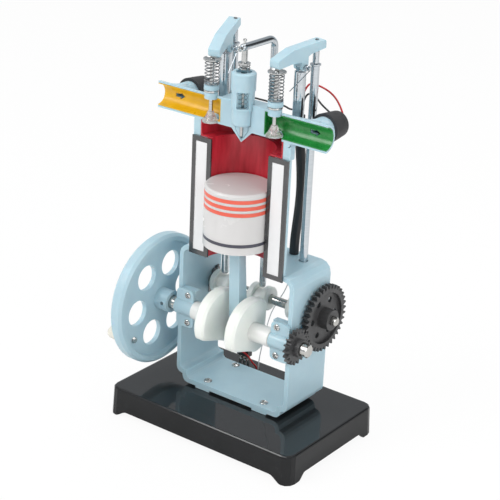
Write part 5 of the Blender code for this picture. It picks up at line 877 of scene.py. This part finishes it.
def makeFloor(s):
    # a flat grid just under the feet; the camera and clear pieces see it mostly as plain white, and
    # the rest of it takes the object's shadow
    line = np.linspace(-s["floorSize"] / 2, s["floorSize"] / 2, s["floorRows"])
    x, y = np.meshgrid(line, line, indexing="ij")
    points = np.stack([x, y, np.full_like(x, cadLow.z - s["floorDrop"])], -1)
    floor = gridPiece("floor", points, closedAround=False, smooth=False)
    material, tree, shader = startMaterial("paleFloor", (s["floorTone"],) * 3)
    setSockets(shader, {"Base Color": (s["floorTone"],) * 3 + (1,), "Roughness": s["floorRough"]})
    glow = newNode(tree, "ShaderNodeEmission", {"Strength": 1.0})
    path = newNode(tree, "ShaderNodeLightPath")
    seen = newNode(tree, "ShaderNodeMath", operation="MAXIMUM")
    share = newNode(tree, "ShaderNodeMath", {1: s["floorWhite"]}, operation="MULTIPLY")
    mix = newNode(tree, "ShaderNodeMixShader")
    join(tree, (path, "Is Camera Ray", seen, 0), (path, "Is Transmission Ray", seen, 1),
         (seen, "Value", share, 0), (share, "Value", mix, 0), (shader, "BSDF", mix, 1),
         (glow, "Emission", mix, 2), (mix, "Shader", tree.nodes["Material Output"], "Surface"))
    floor.data.materials.append(material)


def makeWorld(s):
    # even light for the object; the camera and clear pieces see white, and gloss shows a room whose
    # tone is that of the height times that of the side
    world = bpy.data.worlds.new("studio")
    bpy.context.scene.world = world
    world.use_nodes = True
    tree = world.node_tree
    white = (1, 1, 1, 1)
    plain = tree.nodes["Background"]
    setSockets(plain, {"Color": white, "Strength": s["skyLight"]})
    bright = newNode(tree, "ShaderNodeBackground", {"Color": white, "Strength": s["horizonGlow"]})
    room = newNode(tree, "ShaderNodeBackground")
    path = newNode(tree, "ShaderNodeLightPath")
    seen = newNode(tree, "ShaderNodeMath", operation="MAXIMUM")
    place = newNode(tree, "ShaderNodeTexCoord")
    parts = newNode(tree, "ShaderNodeSeparateXYZ")
    height = newNode(tree, "ShaderNodeMath", {1: 0.5, 2: 0.5}, operation="MULTIPLY_ADD")
    turn = newNode(tree, "ShaderNodeMath", operation="ARCTAN2")
    side = newNode(tree, "ShaderNodeMath", {1: 0.5 / math.pi, 2: 0.5}, operation="MULTIPLY_ADD")
    both = newNode(tree, "ShaderNodeMix", {mixFactor: 1.0}, data_type="RGBA", blend_type="MULTIPLY")
    glossy = newNode(tree, "ShaderNodeMixShader")
    mix = newNode(tree, "ShaderNodeMixShader")
    for value, word, socket in ((height, "heights", mixFirst), (side, "sides", mixSecond)):
        ramp = newNode(tree, "ShaderNodeValToRGB")
        stops, tones = ramp.color_ramp.elements, s[word]
        for stop, row in zip(stops, (tones[0], tones[-1])):
            stop.color = (row[1],) * 3 + (1,)
        for position, tone in tones[1:-1]:
            stops.new(position).color = (*(tone * share for share in s["tint"]), 1)
        join(tree, (value, "Value", ramp, "Fac"), (ramp, "Color", both, socket))
    join(tree, (path, "Is Camera Ray", seen, 0), (path, "Is Transmission Ray", seen, 1),
         (place, "Generated", parts, "Vector"), (parts, "Z", height, 0), (parts, "Y", turn, 0),
         (parts, "X", turn, 1), (turn, "Value", side, 0), (both, mixResult, room, "Color"),
         (path, "Is Glossy Ray", glossy, 0), (plain, "Background", glossy, 1),
         (room, "Background", glossy, 2), (seen, "Value", mix, 0), (glossy, "Shader", mix, 1),
         (bright, "Background", mix, 2), (mix, "Shader", tree.nodes["World Output"], "Surface"))


def makeLamp(word, s):
    # a square soft lamp that looks at the middle of the object
    lamp = bpy.data.lights.new(word, "AREA")
    lamp.energy, lamp.size = s["power"], s["size"]
    holder = bpy.data.objects.new(word, lamp)
    bpy.context.scene.collection.objects.link(holder)
    holder.location = s["place"]
    holder.rotation_mode = "QUATERNION"
    holder.rotation_quaternion = (lampTarget - Vector(s["place"])).to_track_quat("-Z", "Y")


def makeCamera(s):
    # back leads from the object to the camera, and right and up are turned about it by the roll
    azimuth, elevation, roll = (math.radians(s[word]) for word in ("azimuth", "elevation", "roll"))
    level = math.cos(elevation)
    back = Vector((math.sin(azimuth) * level, -math.cos(azimuth) * level, math.sin(elevation)))
    right = (-back).cross(Vector((0, 0, 1))).normalized()
    up = right.cross(-back)
    turnedRight = math.cos(roll) * right + math.sin(roll) * up
    turnedUp = -math.sin(roll) * right + math.cos(roll) * up
    lens = bpy.data.cameras.new("camera")
    lens.lens, lens.sensor_width, lens.clip_start = s["lens"], s["sensor"], s["nearest"]
    holder = bpy.data.objects.new("camera", lens)
    bpy.context.scene.collection.objects.link(holder)
    stand = Matrix((turnedRight, turnedUp, back)).transposed().to_4x4()
    stand.translation = s["place"]
    holder.matrix_world = stand
    bpy.context.scene.camera = holder


makeFloor(stageSettings)
makeWorld(stageSettings)
for word, s in lampSettings.items():
    makeLamp(word, s)
makeCamera(cameraSettings)
bpy.context.scene.view_settings.view_transform = "Standard"
print("stage, lamps and camera ready")
